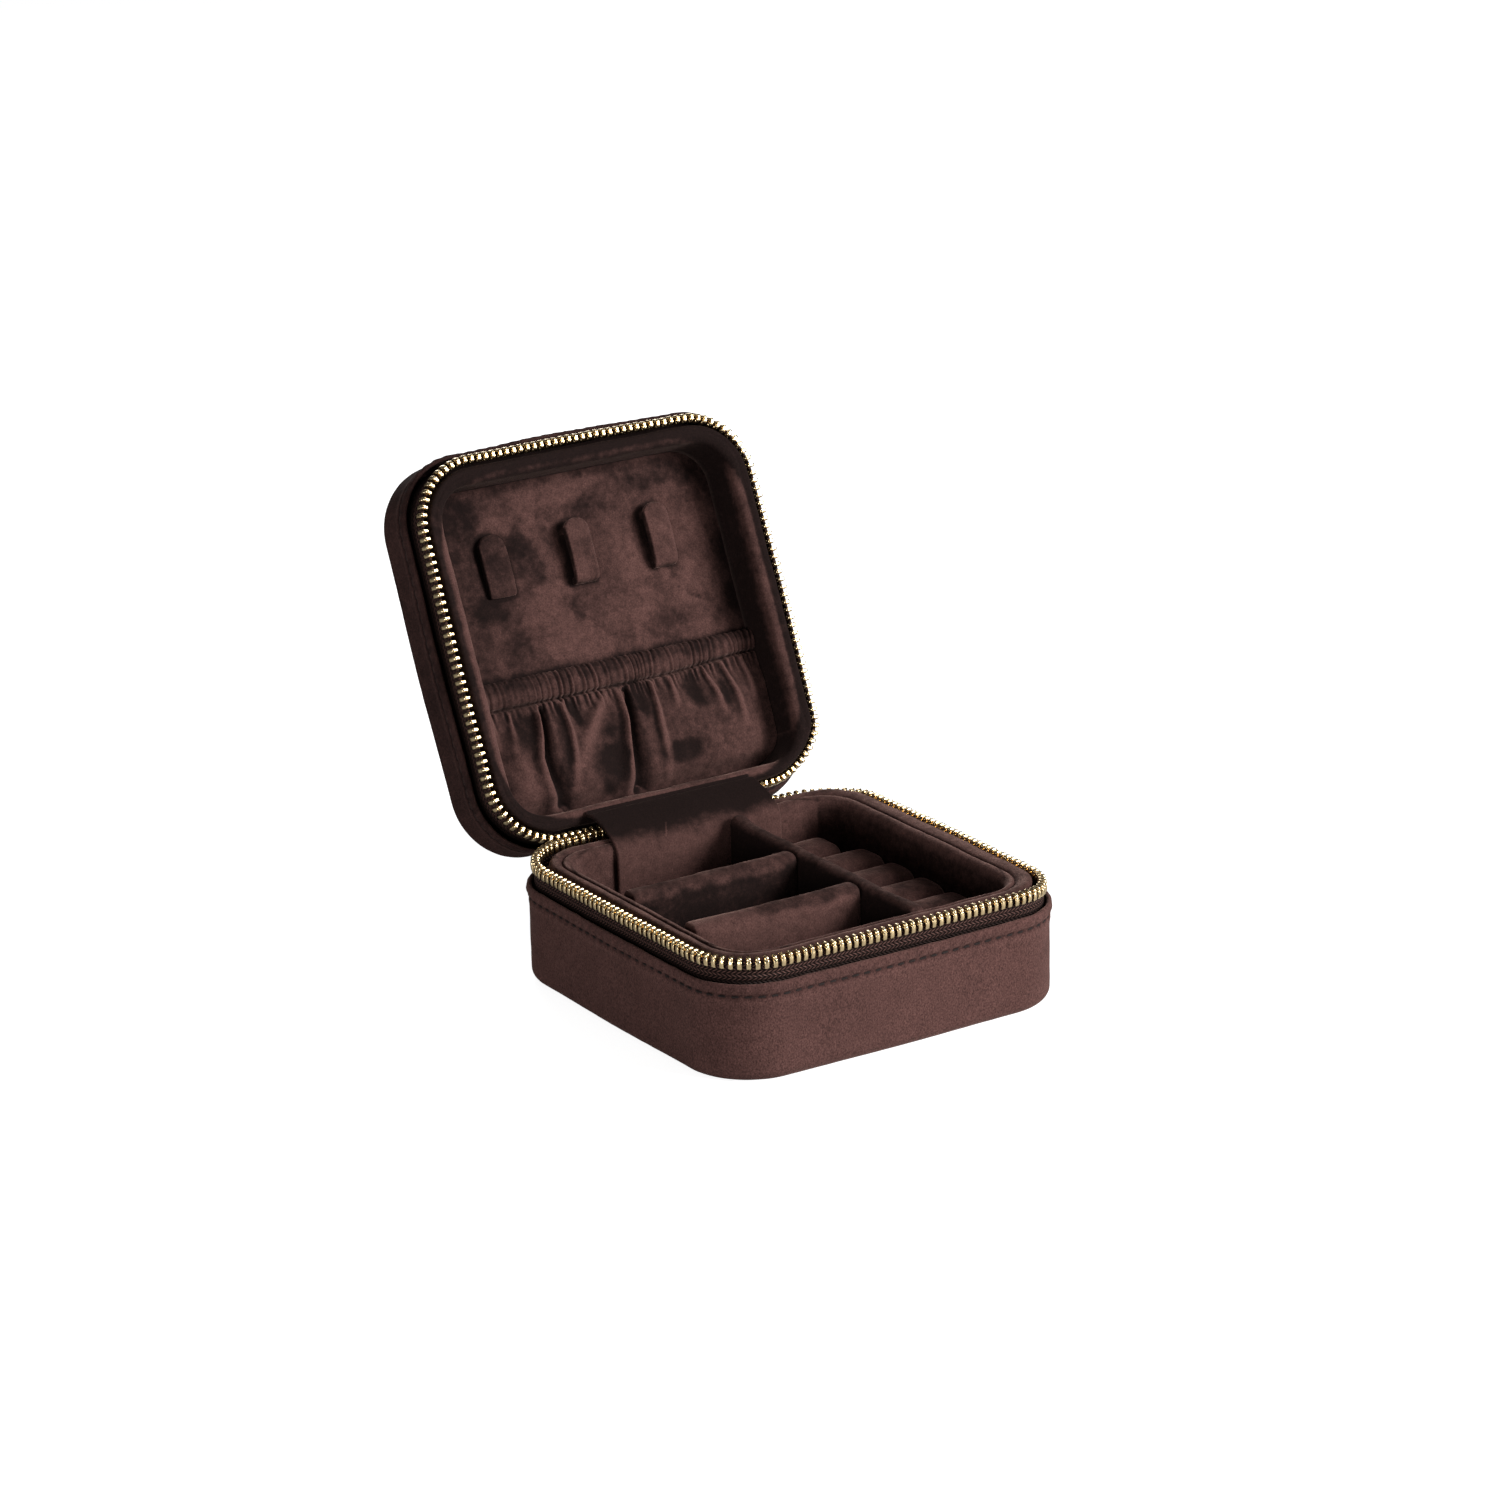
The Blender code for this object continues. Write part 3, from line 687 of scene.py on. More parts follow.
OUTER = (0.0680, 0.0318, 0.0278)
# The same velvet as OUTER, darker as painted shade for the inside of the case.
INNER_SHADED = (0.0540, 0.0258, 0.0222)
SKIN_VELVET = velvet("velvet_skin", OUTER, nap=0.07, patch=30, grain=(2.7, 2.7, 2.0),
                     sheen=0.28, grain_amount=0.62, rag=0.035, soft=0.03)
LID_VELVET = velvet("velvet_lid_skin", OUTER, nap=0.14, patch=22, grain=(2.6, 2.6, 1.9),
                    sheen=0.16, seed=3.1, grain_amount=0.6, rag=0.06, soft=0.04)
RIM_VELVET = velvet("velvet_rim", INNER_SHADED, nap=0.16, patch=8, sheen=0.44, seed=5.3)
PANEL_VELVET = velvet("velvet_panel", INNER_SHADED, nap=0.34, patch=11, streak=(1, 0.8, 1),
                      sheen=0.30, seed=7.9, rag=0.16)
POCKET_VELVET = velvet("velvet_pocket", INNER_SHADED, nap=0.16, patch=9, streak=(1.4, 0.7, 1),
                       grain=(2.8, 2.0, 2.8), sheen=0.40, seed=11.2)
DIVIDER_VELVET = velvet("velvet_divider", INNER_SHADED, nap=0.14, patch=9, grain=(2.8, 2.8, 2.2),
                        sheen=0.38, seed=13.7)
FLAP_VELVET = velvet("velvet_flap", INNER_SHADED, nap=0.10, patch=10, grain=(2.8, 2.8, 2.2),
                     sheen=0.30, seed=17.1)
TAB_VELVET = velvet("velvet_tab", INNER_SHADED, nap=0.18, patch=6, sheen=0.36, seed=23.3)
TAPE_WEAVE = tape_finish("woven_tape", (0.050, 0.026, 0.022))
GOLD = gold_finish("plated_gold")
THREAD = thread_finish("sewing_thread", (0.012, 0.006, 0.005))
LID_THREAD = thread_finish("sewing_thread_lid", (0.030, 0.014, 0.012))
BOARD = board_finish("pulp_board")

# --- Velvet skins: padded walls, rounded foot, flared and puckered folded edge ---
STITCH_INSET = 3.2                   # stitch line from the folded edge
STITCH_PITCH = 3.15
BASE_STITCH_Z = WALL_TOP - STITCH_INSET
LID_STITCH_Z = LID_EDGE + STITCH_INSET
SEAM_OUT, SEAM_X = 0.16, 15.2        # seam beyond the skin; where it ends at the back
SEAM = zip_line(SKIN_HALF + SEAM_OUT, SKIN_R + SEAM_OUT, -SEAM_X, SEAM_X, bow=SKIN_BOW)
FLAT_HALVES = (1.0, 8, 16, 24, 32, 38, 43, 46, 47.3)
EDGE_ROWS, WALL_ROWS, LIP_ROWS = 8, 26, 7
EDGE_R, LIP_R, FLARE = 2.5, 0.55, 0.45
# Back of the cover, down the wall and across inside the flat face.
# Columns: half, radius less than SKIN_R, distance from the flat face.
SKIN_BACK = ((49.2, 0.8, 3.4), (48.9, 1.1, 2.2), (48.2, 1.8, 1.3), (47.0, 3.0, 0.9),
             (38, 8, 0.9), (26, 13, 0.9), (13, 15, 0.9), (1.0, 16.8, 0.9))


def stitch_phase(pts, z):
    """+1 in the middle of a stitch, -1 at the needle holes between two."""
    phase = np.zeros(len(pts))
    near = np.where(np.abs(pts[:, 2] - z) < 4.5)[0]
    for k in range(0, len(near), 2000):
        some = near[k:k + 2000]
        dist = ((pts[some, None, :2] - SEAM.centre[None]) ** 2).sum(2)
        place = SEAM.arc[dist.argmin(1)]
        phase[some] = np.cos(2 * np.pi * (place - STITCH_PITCH) / STITCH_PITCH + np.pi)
    return phase


def skin_nap_and_shade(pts, stitch_z, up, painted_shade):
    """Painted shade in the sunk stitch line just under the folded edge, painted light
    on the swell and puckers either side of it, and any set amount of painted shade over the whole
    skin.
    """
    z = pts[:, 2]
    phase = stitch_phase(pts, stitch_z)
    nap = painted_shade + 0.06 * noise(pts, 5, 301)
    # painted shade in the stitch line, deepest in the middle of each stitch
    nap -= (0.50 + 0.30 * phase) * bell(z, stitch_z, 0.50)
    # painted light on the swell below the stitch line and the puckers above it
    nap += 0.12 * bell(z, stitch_z - up * 1.3, 0.7)
    nap += 0.10 * phase * bell(z, stitch_z + up * 1.3, 0.8)
    return nap


def lid_tuck(pts):
    """Near the back right corner the lid's edge is drawn in against its rim."""
    new = pts.copy()
    there = back_right(pts)
    reach, out = outward(pts)
    near = ramp(46.0, 36.5, pts[:, 2])
    new[:, :2] -= out * (np.maximum(reach - 44.4, 0) * 0.46 * there * near)[:, None]
    new[:, 2] += 2.2 * there * near * ramp(44.0, 47.5, reach)
    return new


def skin_rows(foot, top, up):
    """Rows of a skin from the middle of its flat face, round the edge radius, along
    the wall and over the folded edge. up is +1 for the base (flat face below)
    and -1 for the lid (flat face above)."""
    rows = [(half, max(SKIN_R - 2.7 - (47.3 - half) * 0.35, 0.6), foot) for half in FLAT_HALVES]
    for i in range(1, EDGE_ROWS + 1):
        angle = math.radians(90 * i / EDGE_ROWS)
        rows.append((SKIN_HALF - EDGE_R + EDGE_R * math.sin(angle),
                     SKIN_R - EDGE_R + EDGE_R * math.sin(angle),
                     foot + up * (EDGE_R - EDGE_R * math.cos(angle))))
    length = abs(top - foot) - EDGE_R
    for i in range(1, WALL_ROWS + 1):
        z = foot + up * (EDGE_R + (length - LIP_R) * i / WALL_ROWS)
        flare = FLARE * float(1 - ramp(0, 5.5, abs(top - z)))
        rows.append((SKIN_HALF + flare, SKIN_R + flare, z))
    for i in range(1, LIP_ROWS + 1):
        angle = math.radians(180 * i / (LIP_ROWS + 1))
        out = FLARE - LIP_R + LIP_R * math.cos(angle)
        rows.append((SKIN_HALF + out, SKIN_R + out,
                     top - up * LIP_R + up * LIP_R * math.sin(angle)))
    for drop in (0.8, 1.6, 2.6, 4.0, 6.0):
        rows.append((49.3 + FLARE * (1 - drop / 6), SKIN_R - 0.7, top - up * drop))
    for half, less, rise in SKIN_BACK:
        rows.append((half, max(SKIN_R - less, 0.5), foot + up * rise))
    return rows


def skin_disp(foot, up, stitch_z, seed):
    front_rows = len(FLAT_HALVES) + EDGE_ROWS + WALL_ROWS + LIP_ROWS

    def disp(pts, arc, row):
        z = pts[:, 2]
        above = up * (z - stitch_z)                  # towards the folded edge
        push = 0.14 * fbm(pts, 24, seed, 2) * ramp(0.8, 5, np.abs(z - foot))
        push += 0.03 * noise(pts, 2.6, seed + 3)
        phase = stitch_phase(pts, stitch_z)
        wander = noise(np.column_stack([arc, 0 * arc, 0 * arc]), 9.0, seed + 7)
        # pinched thread line, deepest in the middle of each stitch
        push -= (0.30 + 0.20 * phase) * bell(above, 0.0, 0.46)
        # fabric swells either side, puckered above it
        push += 0.15 * bell(above, -1.25, 0.85)
        push += bell(above, 1.45, 0.95) * (0.22 + 0.13 * phase + 0.10 * wander)
        push += bell(above, 2.7, 0.8) * 0.10 * noise(pts * [1, 1, 0.5], 3.1, seed + 9)
        push = np.where(row >= front_rows, 0, push)
        push = np.where(np.abs(z - foot) < 1e-6, 0.0, push)
        return up * push
    return disp


def velvet_skin(body, mat, foot, edge, up, stitch_z, seed, painted_shade, warp=None):
    sweep(body + "_velvet_skin", skin_rows(foot, edge, up), mat, body, bow=SKIN_BOW,
          disp=skin_disp(foot, up, stitch_z, seed), n_side=110, n_corner=40, warp=warp,
          nap=lambda pts: skin_nap_and_shade(pts, stitch_z, up, painted_shade),
          replaces=(body + "_outer_cover",))


velvet_skin("base", SKIN_VELVET, foot=0.0, edge=WALL_TOP, up=1, stitch_z=BASE_STITCH_Z,
            seed=1, painted_shade=0.0)
# the lid's outer cover gets painted shade all over
velvet_skin("lid", LID_VELVET, foot=LID_TOP, edge=LID_EDGE, up=-1, stitch_z=LID_STITCH_Z,
            seed=21, painted_shade=-0.42, warp=lid_tuck)

# --- Stitches: separate thread dashes along the seam ---
STITCH_LENGTH, THREAD_R, STITCH_SINK = 2.45, 0.27, -0.26


def stitch_mesh(n_round=8, n_rows=9):
    """A dash of thread along X, sunk at both ends."""
    verts = []
    for x in np.linspace(-STITCH_LENGTH / 2, STITCH_LENGTH / 2, n_rows):
        t = abs(x) / (STITCH_LENGTH / 2)
        radius = THREAD_R * math.sqrt(max(1 - max(0, (t - 0.6) / 0.4) ** 2, 0.02))
        sink = -THREAD_R * 1.1 * max(0, (t - 0.45) / 0.55) ** 2
        for k in range(n_round):
            angle = 2 * math.pi * k / n_round
            verts.append((x, radius * 0.9 * math.cos(angle) + sink, radius * math.sin(angle)))
    return np.array(verts), tube_faces(n_rows, n_round)


def stitching(name, path, mat, body, seed):
    """Dashes along path, the seam's points in 3D."""
    rng = np.random.RandomState(seed)
    dash, faces = stitch_mesh()
    parts = []
    place = STITCH_PITCH / 2
    while place < SEAM.arc[-1] - STITCH_PITCH / 2:
        along = at_arc(place, SEAM.arc, SEAM.along)
        out = np.append(at_arc(place, SEAM.arc, SEAM.out), 0)
        tilt = rng.uniform(-0.04, 0.04)
        scale = rng.uniform(0.9, 1.06)
        run = np.array([*(along * math.cos(tilt)), math.sin(tilt)])
        origin = at_arc(place, SEAM.arc, path) + out * STITCH_SINK
        origin[2] += rng.uniform(-0.05, 0.05)
        parts.append((origin + dash[:, :1] * scale * run + dash[:, 1:2] * out
                      + dash[:, 2:3] * np.cross(run, out), faces))
        place += STITCH_PITCH
    build(name, *join_parts(parts), mat, body)


def seam_path(z):
    return np.column_stack([SEAM.centre, np.full(len(SEAM.centre), z)])


stitching("base_edge_stitching", seam_path(BASE_STITCH_Z), THREAD, "base", seed=4)
stitching("lid_edge_stitching", lid_tuck(seam_path(LID_STITCH_Z)), LID_THREAD, "lid", seed=5)

# --- Zip: woven tapes and single cast teeth ---
# Towards the slider, at the back right, the open chains part: the lower one
# sags, the upper one draws back.
ZIP_START_X = -15.4
ZIP_END_X = SLIDER_HIGH[0] + 0.7
ZIP_BOW = 0.25
TAPE_ROWS, TAPE_HALF_THICK = 16, 0.36
TOOTH_PITCH, TOOTH_HEIGHT_SCALE = 2.0, 0.96


def zip_chain(body, up, radius, part):
    """Sizes of one chain. part: how far it stands back from the mating plane on
    the right side and at the back right, and how far it is pushed out there."""
    low, high = node_box(body + "_zip_chain", BODY_TURN[body])
    tape = node_box(body + "_zip_tape", BODY_TURN[body])
    return SimpleNamespace(body=body, up=up, radius=radius, part=part, half=high[0] - 1.0,
                           z=(low[2] + high[2]) / 2, foot=tape[0 if up > 0 else 1][2])


BASE_CHAIN = zip_chain("base", up=1, radius=15.9, part=(1.15, 2.5, 0.7))
LID_CHAIN = zip_chain("lid", up=-1, radius=16.6, part=(1.15, 3.0, -1.7))


def chain_line(chain):
    """The chain's unparted line, its parted centre and its parted rise."""
    line = zip_line(chain.half, chain.radius, ZIP_START_X, ZIP_END_X, bow=ZIP_BOW)
    right, back, out = chain.part
    x, y = line.centre.T
    keep = 1 - 0.35 * (1 - ramp(24.0, 28.5, x)) * (y > 30)
    behind = back_right(line.centre)
    behind = np.maximum(behind, 0.55 * (y > 40) * (x > 20) * (1 - behind))
    gap = (right * right_side(line.centre) * (1 - behind) + back * behind) * keep
    return line, line.centre + line.out * (out * behind)[:, None], -chain.up * gap


def woven_tape(chain, warp=None):
    """Tape from its sewn foot to the edge the teeth bite on."""
    line, parted, rise = chain_line(chain)
    count = len(line.arc)
    edge = chain.z + chain.up * 0.3
    verts, arc_z = [], []
    for side in (1, -1):
        for i in range(TAPE_ROWS)[::side]:
            t = i / (TAPE_ROWS - 1)
            z = chain.foot + (edge - chain.foot) * t
            free = ramp(0.25, 1.0, t)
            flat = line.centre * (1 - free) + parted * free
            wave = 0.10 * noise(np.column_stack([flat, np.full(count, z)]), 5.0, 31) \
                * bell(t, 0.55, 0.3)
            off = side * TAPE_HALF_THICK + wave[:, None]
            pts = np.column_stack([flat + line.out * off, z + rise * free])
            if warp is not None:
                pts = pts + (warp(pts) - pts) * (1 - free)
            verts.append(pts)
            arc_z.append(np.column_stack([line.arc, np.full(count, z), np.full(count, side)]))
    rows = len(verts)
    faces = grid_faces(rows, count, False, True)
    faces.append([i * count for i in range(rows)])
    faces.append([i * count + count - 1 for i in range(rows)][::-1])
    build(chain.body + "_woven_tape", verts, faces, TAPE_WEAVE, chain.body,
          extra={"sz": np.vstack(arc_z)}, replaces=(chain.body + "_zip_tape",))


woven_tape(BASE_CHAIN)
woven_tape(LID_CHAIN, warp=lid_tuck)

# Outline of a tooth's legs and bridge (across, up): the outside, then back inside.
TOOTH_OUTLINE = ((-0.92, -1.42), (-1.10, -1.15), (-1.16, -0.5), (-1.14, 0.25), (-0.98, 0.72),
                 (0.0, 0.92), (0.98, 0.72), (1.14, 0.25), (1.16, -0.5), (1.10, -1.15),
                 (0.92, -1.42), (0.60, -1.40), (0.50, -1.0), (0.48, -0.2), (0.0, 0.10),
                 (-0.48, -0.2), (-0.50, -1.0), (-0.60, -1.40))
# Inside point facing each of the outside points 0 to 10.
TOOTH_INSIDE = (17, 17, 16, 15, 15, 14, 13, 13, 12, 11, 11)
# Sections along the tape: x, fullness of the outline.
TOOTH_SECTIONS = ((-0.52, 0.80), (-0.45, 0.93), (-0.28, 1.0), (0.28, 1.0), (0.45, 0.93),
                  (0.52, 0.80))
# Rings of the coupling head: half across the tape, half along it, z.
TOOTH_HEAD = ((0.98, 0.52, 0.55), (1.05, 0.66, 0.85), (1.02, 0.68, 1.20), (0.86, 0.58, 1.52),
              (0.56, 0.38, 1.68))


def tooth_mesh():
    """One cast tooth: two slim legs that bite the tape's edge, joined by a bridge,
    and a wider coupling head with a dimple. X runs along the tape, Y across
    it, Z up."""
    verts, faces = [], []
    outline = np.array(TOOTH_OUTLINE)
    run = np.roll(outline, -1, 0) - np.roll(outline, 1, 0)
    normals = np.stack([-run[:, 1], run[:, 0]], 1)
    normals /= np.linalg.norm(normals, axis=1)[:, None]
    for x, full in TOOTH_SECTIONS:
        # the legs splay a little as they go down
        verts += [(x * (1.0 + 0.10 * max(0, -z)), y, z)
                  for y, z in outline - normals * (1 - full) * 0.8]
    count, sections = len(outline), len(TOOTH_SECTIONS)
    faces += grid_faces(sections, count)
    for first, step in ((0, 1), ((sections - 1) * count, -1)):
        for k in range(10):
            face = [first + k, first + k + 1, first + TOOTH_INSIDE[k + 1],
                    first + TOOTH_INSIDE[k]]
            faces.append(list(dict.fromkeys(face))[::step])
    # head: two rounded shoulders across the chain with a waist between them
    base, seg = len(verts), 16
    for half_y, half_x, z in TOOTH_HEAD:
        for k in range(seg):
            angle = 2 * math.pi * k / seg
            cos, sin = math.cos(angle), math.sin(angle)
            waist = 1 - 0.22 * (1 - abs(sin)) ** 2
            verts.append((half_x * waist * signed_power(cos, 0.8),
                          half_y * signed_power(sin, 0.8), z))
    faces += grid_faces(len(TOOTH_HEAD), seg, first=base)
    top = len(verts)
    verts.append((0, 0, 1.60))
    last = top - seg
    faces += [[last + k, last + (k + 1) % seg, top] for k in range(seg)]
    faces.append([base + k for k in range(seg)][::-1])
    return np.array(verts), faces


def zip_teeth(chain, phase, seed):
    """Teeth along a chain, each set a little unevenly."""
    line, parted, rise = chain_line(chain)
    arc = line.arc
    rng = np.random.RandomState(seed)
    tooth, faces = tooth_mesh()
    parts = []
    place = 0.8 + phase
    while place < arc[-1] - 0.3:
        origin = np.append(at_arc(place, arc, parted), chain.z + np.interp(place, arc, rise))
        climb = np.interp(place + 0.5, arc, rise) - np.interp(place - 0.5, arc, rise)
        along = np.append(at_arc(place, arc, line.along), climb)
        along /= np.linalg.norm(along)
        out = np.append(at_arc(place, arc, line.out), 0)
        up = np.cross(along, out) * -1
        if up[2] * chain.up < 0:
            up = -up
        yaw, roll = rng.uniform(-0.05, 0.05), rng.uniform(-0.05, 0.05)
        axis_x = along * math.cos(yaw) + out * math.sin(yaw)
        axis_y = out * math.cos(yaw) - along * math.sin(yaw)
        axis_z = up * math.cos(roll) + axis_y * math.sin(roll)
        axis_y = axis_y * math.cos(roll) - up * math.sin(roll)
        origin = origin + out * rng.uniform(-0.05, 0.05) + up * rng.uniform(-0.05, 0.05)
        parts.append((origin + tooth[:, :1] * axis_x + tooth[:, 1:2] * axis_y
                      + tooth[:, 2:3] * TOOTH_HEIGHT_SCALE * axis_z, faces))
        place += TOOTH_PITCH
    build(chain.body + "_zip_teeth", *join_parts(parts), GOLD, chain.body, smooth=38,
          replaces=(chain.body + "_zip_chain",))


zip_teeth(BASE_CHAIN, phase=0.0, seed=61)
zip_teeth(LID_CHAIN, phase=TOOTH_PITCH / 2, seed=62)

# --- Padded liners with a rolled rim ---
# Columns of these tables: half, corner radius, z.
BASE_CREASE = [(41.95, 28.98), (42.12, 28.74), (42.25, 28.62), (42.38, 28.74),
               (42.6, 29.02), (43.0, 29.24), (43.6, 29.36)]     # half, z only
BASE_LEDGE = [(45.05, 12.7, 27.4), (45.1, 12.8, 26.4), (45.5, 13.2, 25.7),
              (46.4, 14.0, 25.4), (47.5, 15.0, 25.3), (47.75, 15.3, 24.9),
              (47.5, 15.1, 24.5), (46.0, 13.6, 24.2), (45.0, 12.6, 23.6),
              (45.0, 12.6, 14.0), (45.0, 12.6, 5.6)]
LID_LIP = [(44.0, 11.5, 32.32), (44.3, 11.9, 32.24), (44.8, 12.6, 32.15)]
LID_LEDGE = [(46.05, 14.7, 34.2), (46.2, 14.9, 35.4), (46.6, 15.3, 36.1),
             (47.2, 15.9, 36.4), (47.35, 16.0, 36.8), (46.6, 15.3, 37.2),
             (45.45, 14.4, 37.8), (45.45, 14.4, 41.0), (45.45, 14.4, 45.2)]


def base_rim_rows():
    """Closed profile: inner wall, rolled lip, crease, flat, outer edge, ledge to
    the tape, and back down."""
    inner, radius, roll = 39.5, 9.0, 2.2
    front_out = 0.4                  # the front inner wall stands twice this further out
    rows = [(inner, radius, z, inner + front_out, -front_out)
            for z in (5.6, 8, 12, 16, 20, 23, 25, 26.2)]
    for i in range(1, 9):
        angle = math.radians(90 * i / 8)
        half = inner + roll * (1 - math.cos(angle))
        extra = front_out * (1 - i / 10)
        rows.append((half, radius + roll * (1 - math.cos(angle)) * 0.7,
                     27.0 + 2.15 * math.sin(angle), half + extra, -extra))
    rows += [(half, 10.7 + (half - 42) * 0.8, z) for half, z in BASE_CREASE]
    for i in range(1, 7):
        angle = math.radians(90 * i / 6)
        rows.append((43.9 + 1.1 * math.sin(angle), 12.0 + 0.6 * math.sin(angle),
                     28.3 + 1.05 * math.cos(angle)))
    return rows + BASE_LEDGE


def lid_rim_rows():
    inner, radius = 41.8, 9.6
    rows = [(inner, radius, z) for z in (45.2, 43, 40, 37, 35.6)]
    for i in range(1, 9):
        angle = math.radians(90 * i / 8)
        rows.append((inner + 2.0 * (1 - math.cos(angle)), radius + 1.6 * (1 - math.cos(angle)),
                     34.3 - 2.1 * math.sin(angle)))
    rows += LID_LIP
    for i in range(1, 7):
        angle = math.radians(90 * i / 6)
        rows.append((45.0 + 1.0 * math.sin(angle), 13.0 + 1.6 * math.sin(angle),
                     33.1 - 0.95 * math.cos(angle)))
    return rows + LID_LEDGE


def base_rim_warp(pts):
    """On the right side the padding swells out against the tape."""
    new = pts.copy()
    reach, out = outward(pts)
    there = right_side(pts) * ramp(42.7, 44.4, reach) * ramp(25.9, 27.4, pts[:, 2])
    new[:, :2] += out * (1.15 * there)[:, None]
    new[:, 2] += 0.30 * there
    return new


def lid_rim_warp(pts):
    new = pts.copy()
    reach, out = outward(pts)
    there = right_side(pts) * ramp(43.5, 45.4, reach) * ramp(35.2, 34.2, pts[:, 2])
    new[:, :2] += out * (0.45 * there)[:, None]
    new[:, 2] -= 0.25 * there
    # the flap is glued under the lip, so the padding is pressed back there
    pressed = ramp(26.5, 24.0, np.abs(pts[:, 0])) * ramp(42.9, 44.2, pts[:, 1])
    new[:, 2] += 0.55 * pressed * ramp(34.5, 33.0, pts[:, 2])
    return lid_tuck(new)


# Pile noise on the base's liner, with painted light and shade.
def base_rim_nap_and_shade(pts):
    reach, out = outward(pts, 25.0)
    out_x, out_y = out.T
    z = pts[:, 2]
    top = ramp(28.0, 29.0, z)
    nap = 0.16 * noise(pts, 7, 311) * top
    nap -= 0.55 * bell(reach, 42.25, 0.26) * top           # painted shade in the crease of the seam along the rim
    nap -= 0.10 * ramp(43.8, 45.2, reach)
    # painted light on the rim's top along the right side
    nap += 0.12 * ramp(0.5, 0.95, out_x) * top
    wall = 1 - ramp(26.5, 28.0, z)
    nap -= 0.38 * wall * (out_x > 0.6)                     # painted shade on the wall that faces left, away from the lamp
    # painted shade on the front wall, painted light on the back wall
    nap -= 0.30 * wall * (out_y < -0.6)
    nap += 0.12 * wall * (out_y > 0.6)
    # painted shade deepening down the walls
    nap -= 0.25 * (1 - ramp(9, 24, z)) * wall
    return nap


def lid_rim_nap_and_shade(pts):
    reach, out = outward(pts, 25.0)
    out_x, out_y = out.T
    z = pts[:, 2]
    # painted highlight along the rolled lip, over a little pile noise
    lip = bell(reach, 42.9, 1.0) * ramp(35.5, 33.5, z)
    nap = (0.46 - 0.20 * ramp(0.5, 0.9, out_x)) * lip + 0.10 * noise(pts, 7, 313) * ramp(36, 33, z)
    # painted shade on the rim all round, most on the side away from the hinge
    nap -= 0.14 + 0.14 * ramp(0.4, 0.9, out_x) + 0.62 * ramp(0.4, 0.9, -out_y) \
        + 0.18 * ramp(0.4, 0.9, out_y)
    # painted shade on the rim's outer part
    nap -= 0.56 * ramp(43.7, 44.7, reach)
    # painted shade on the inner walls, most on the one that faces left
    wall = ramp(34.5, 36.5, z) * (reach < 44)
    nap -= 0.50 * wall * (out_x > 0.6)
    nap -= 0.42 * wall * (out_y < -0.6)
    nap -= 0.18 * wall * (out_x < -0.6)
    # more painted shade on the side away from the hinge
    nap -= 0.18 * ramp(0.4, 0.9, -out_y) * (reach < 44.5)
    return nap


def padded_liner(body, rows, seed, warp, nap):
    sweep(body + "_padded_liner", rows, RIM_VELVET, body, closed=True,
          disp=lambda pts, arc, row: (0.12 * fbm(pts, 9, seed, 2)
                                      + 0.05 * noise(pts, 2.4, seed + 5)),
          n_side=70, n_corner=30, warp=warp, nap=nap, replaces=(body + "_liner_frame",))


padded_liner("base", base_rim_rows(), 71, base_rim_warp, base_rim_nap_and_shade)
padded_liner("lid", lid_rim_rows(), 81, lid_rim_warp, lid_rim_nap_and_shade)

# --- Flat pads: compartment floor and the lid's panel ---
# Pressed creases of the panel: start, end, width, depth.
PANEL_CREASES = (((27.6, -5.9), (31.8, -3.4), 0.55, -0.55),
                 ((-5.0, -2.2), (-3.4, -3.0), 0.6, -0.25))
# Where a hand has brushed the panel's pile, mostly round the snap tabs; the narrow spot at (29.7,
# -4.7) is painted shade in the first pressed crease.
PANEL_SPOTS = (
    (-16.5, -21.8, 7.5, 8.5, -0.46, 0), (-8.6, -26.5, 2.0, 5.5, -0.30, -12),
    (4.6, -32.6, 6.5, 3.6, -0.34, 0), (28.5, -36.5, 13.0, 3.6, -0.42, 4),
    (-29.5, -36.0, 6.0, 4.2, -0.32, 0), (-6.3, -9.3, 3.6, 2.2, -0.34, 10),
    (-4.6, -5.6, 1.4, 2.6, -0.22, 0), (-29.5, -11.0, 7.0, 3.6, -0.34, 0),
    (40.5, -8.0, 3.4, 16.0, -0.30, 0), (26.5, -0.4, 9.0, 3.0, -0.20, 0),
    (29.7, -4.7, 2.6, 0.7, -0.45, 30), (-20.0, -2.0, 9.0, 4.0, -0.16, 0),
    (14.0, -17.0, 9.0, 10.0, 0.14, 0), (12.0, -6.0, 12.0, 5.0, 0.16, 0),
    (-14.0, 2.0, 9.0, 3.5, 0.10, 0), (-22.0, -32.0, 6.0, 3.0, 0.12, 0),
    (-32.0, -31.0, 7.0, 7.0, -0.20, 0), (32.0, -18.0, 6.0, 10.0, 0.16, 0))


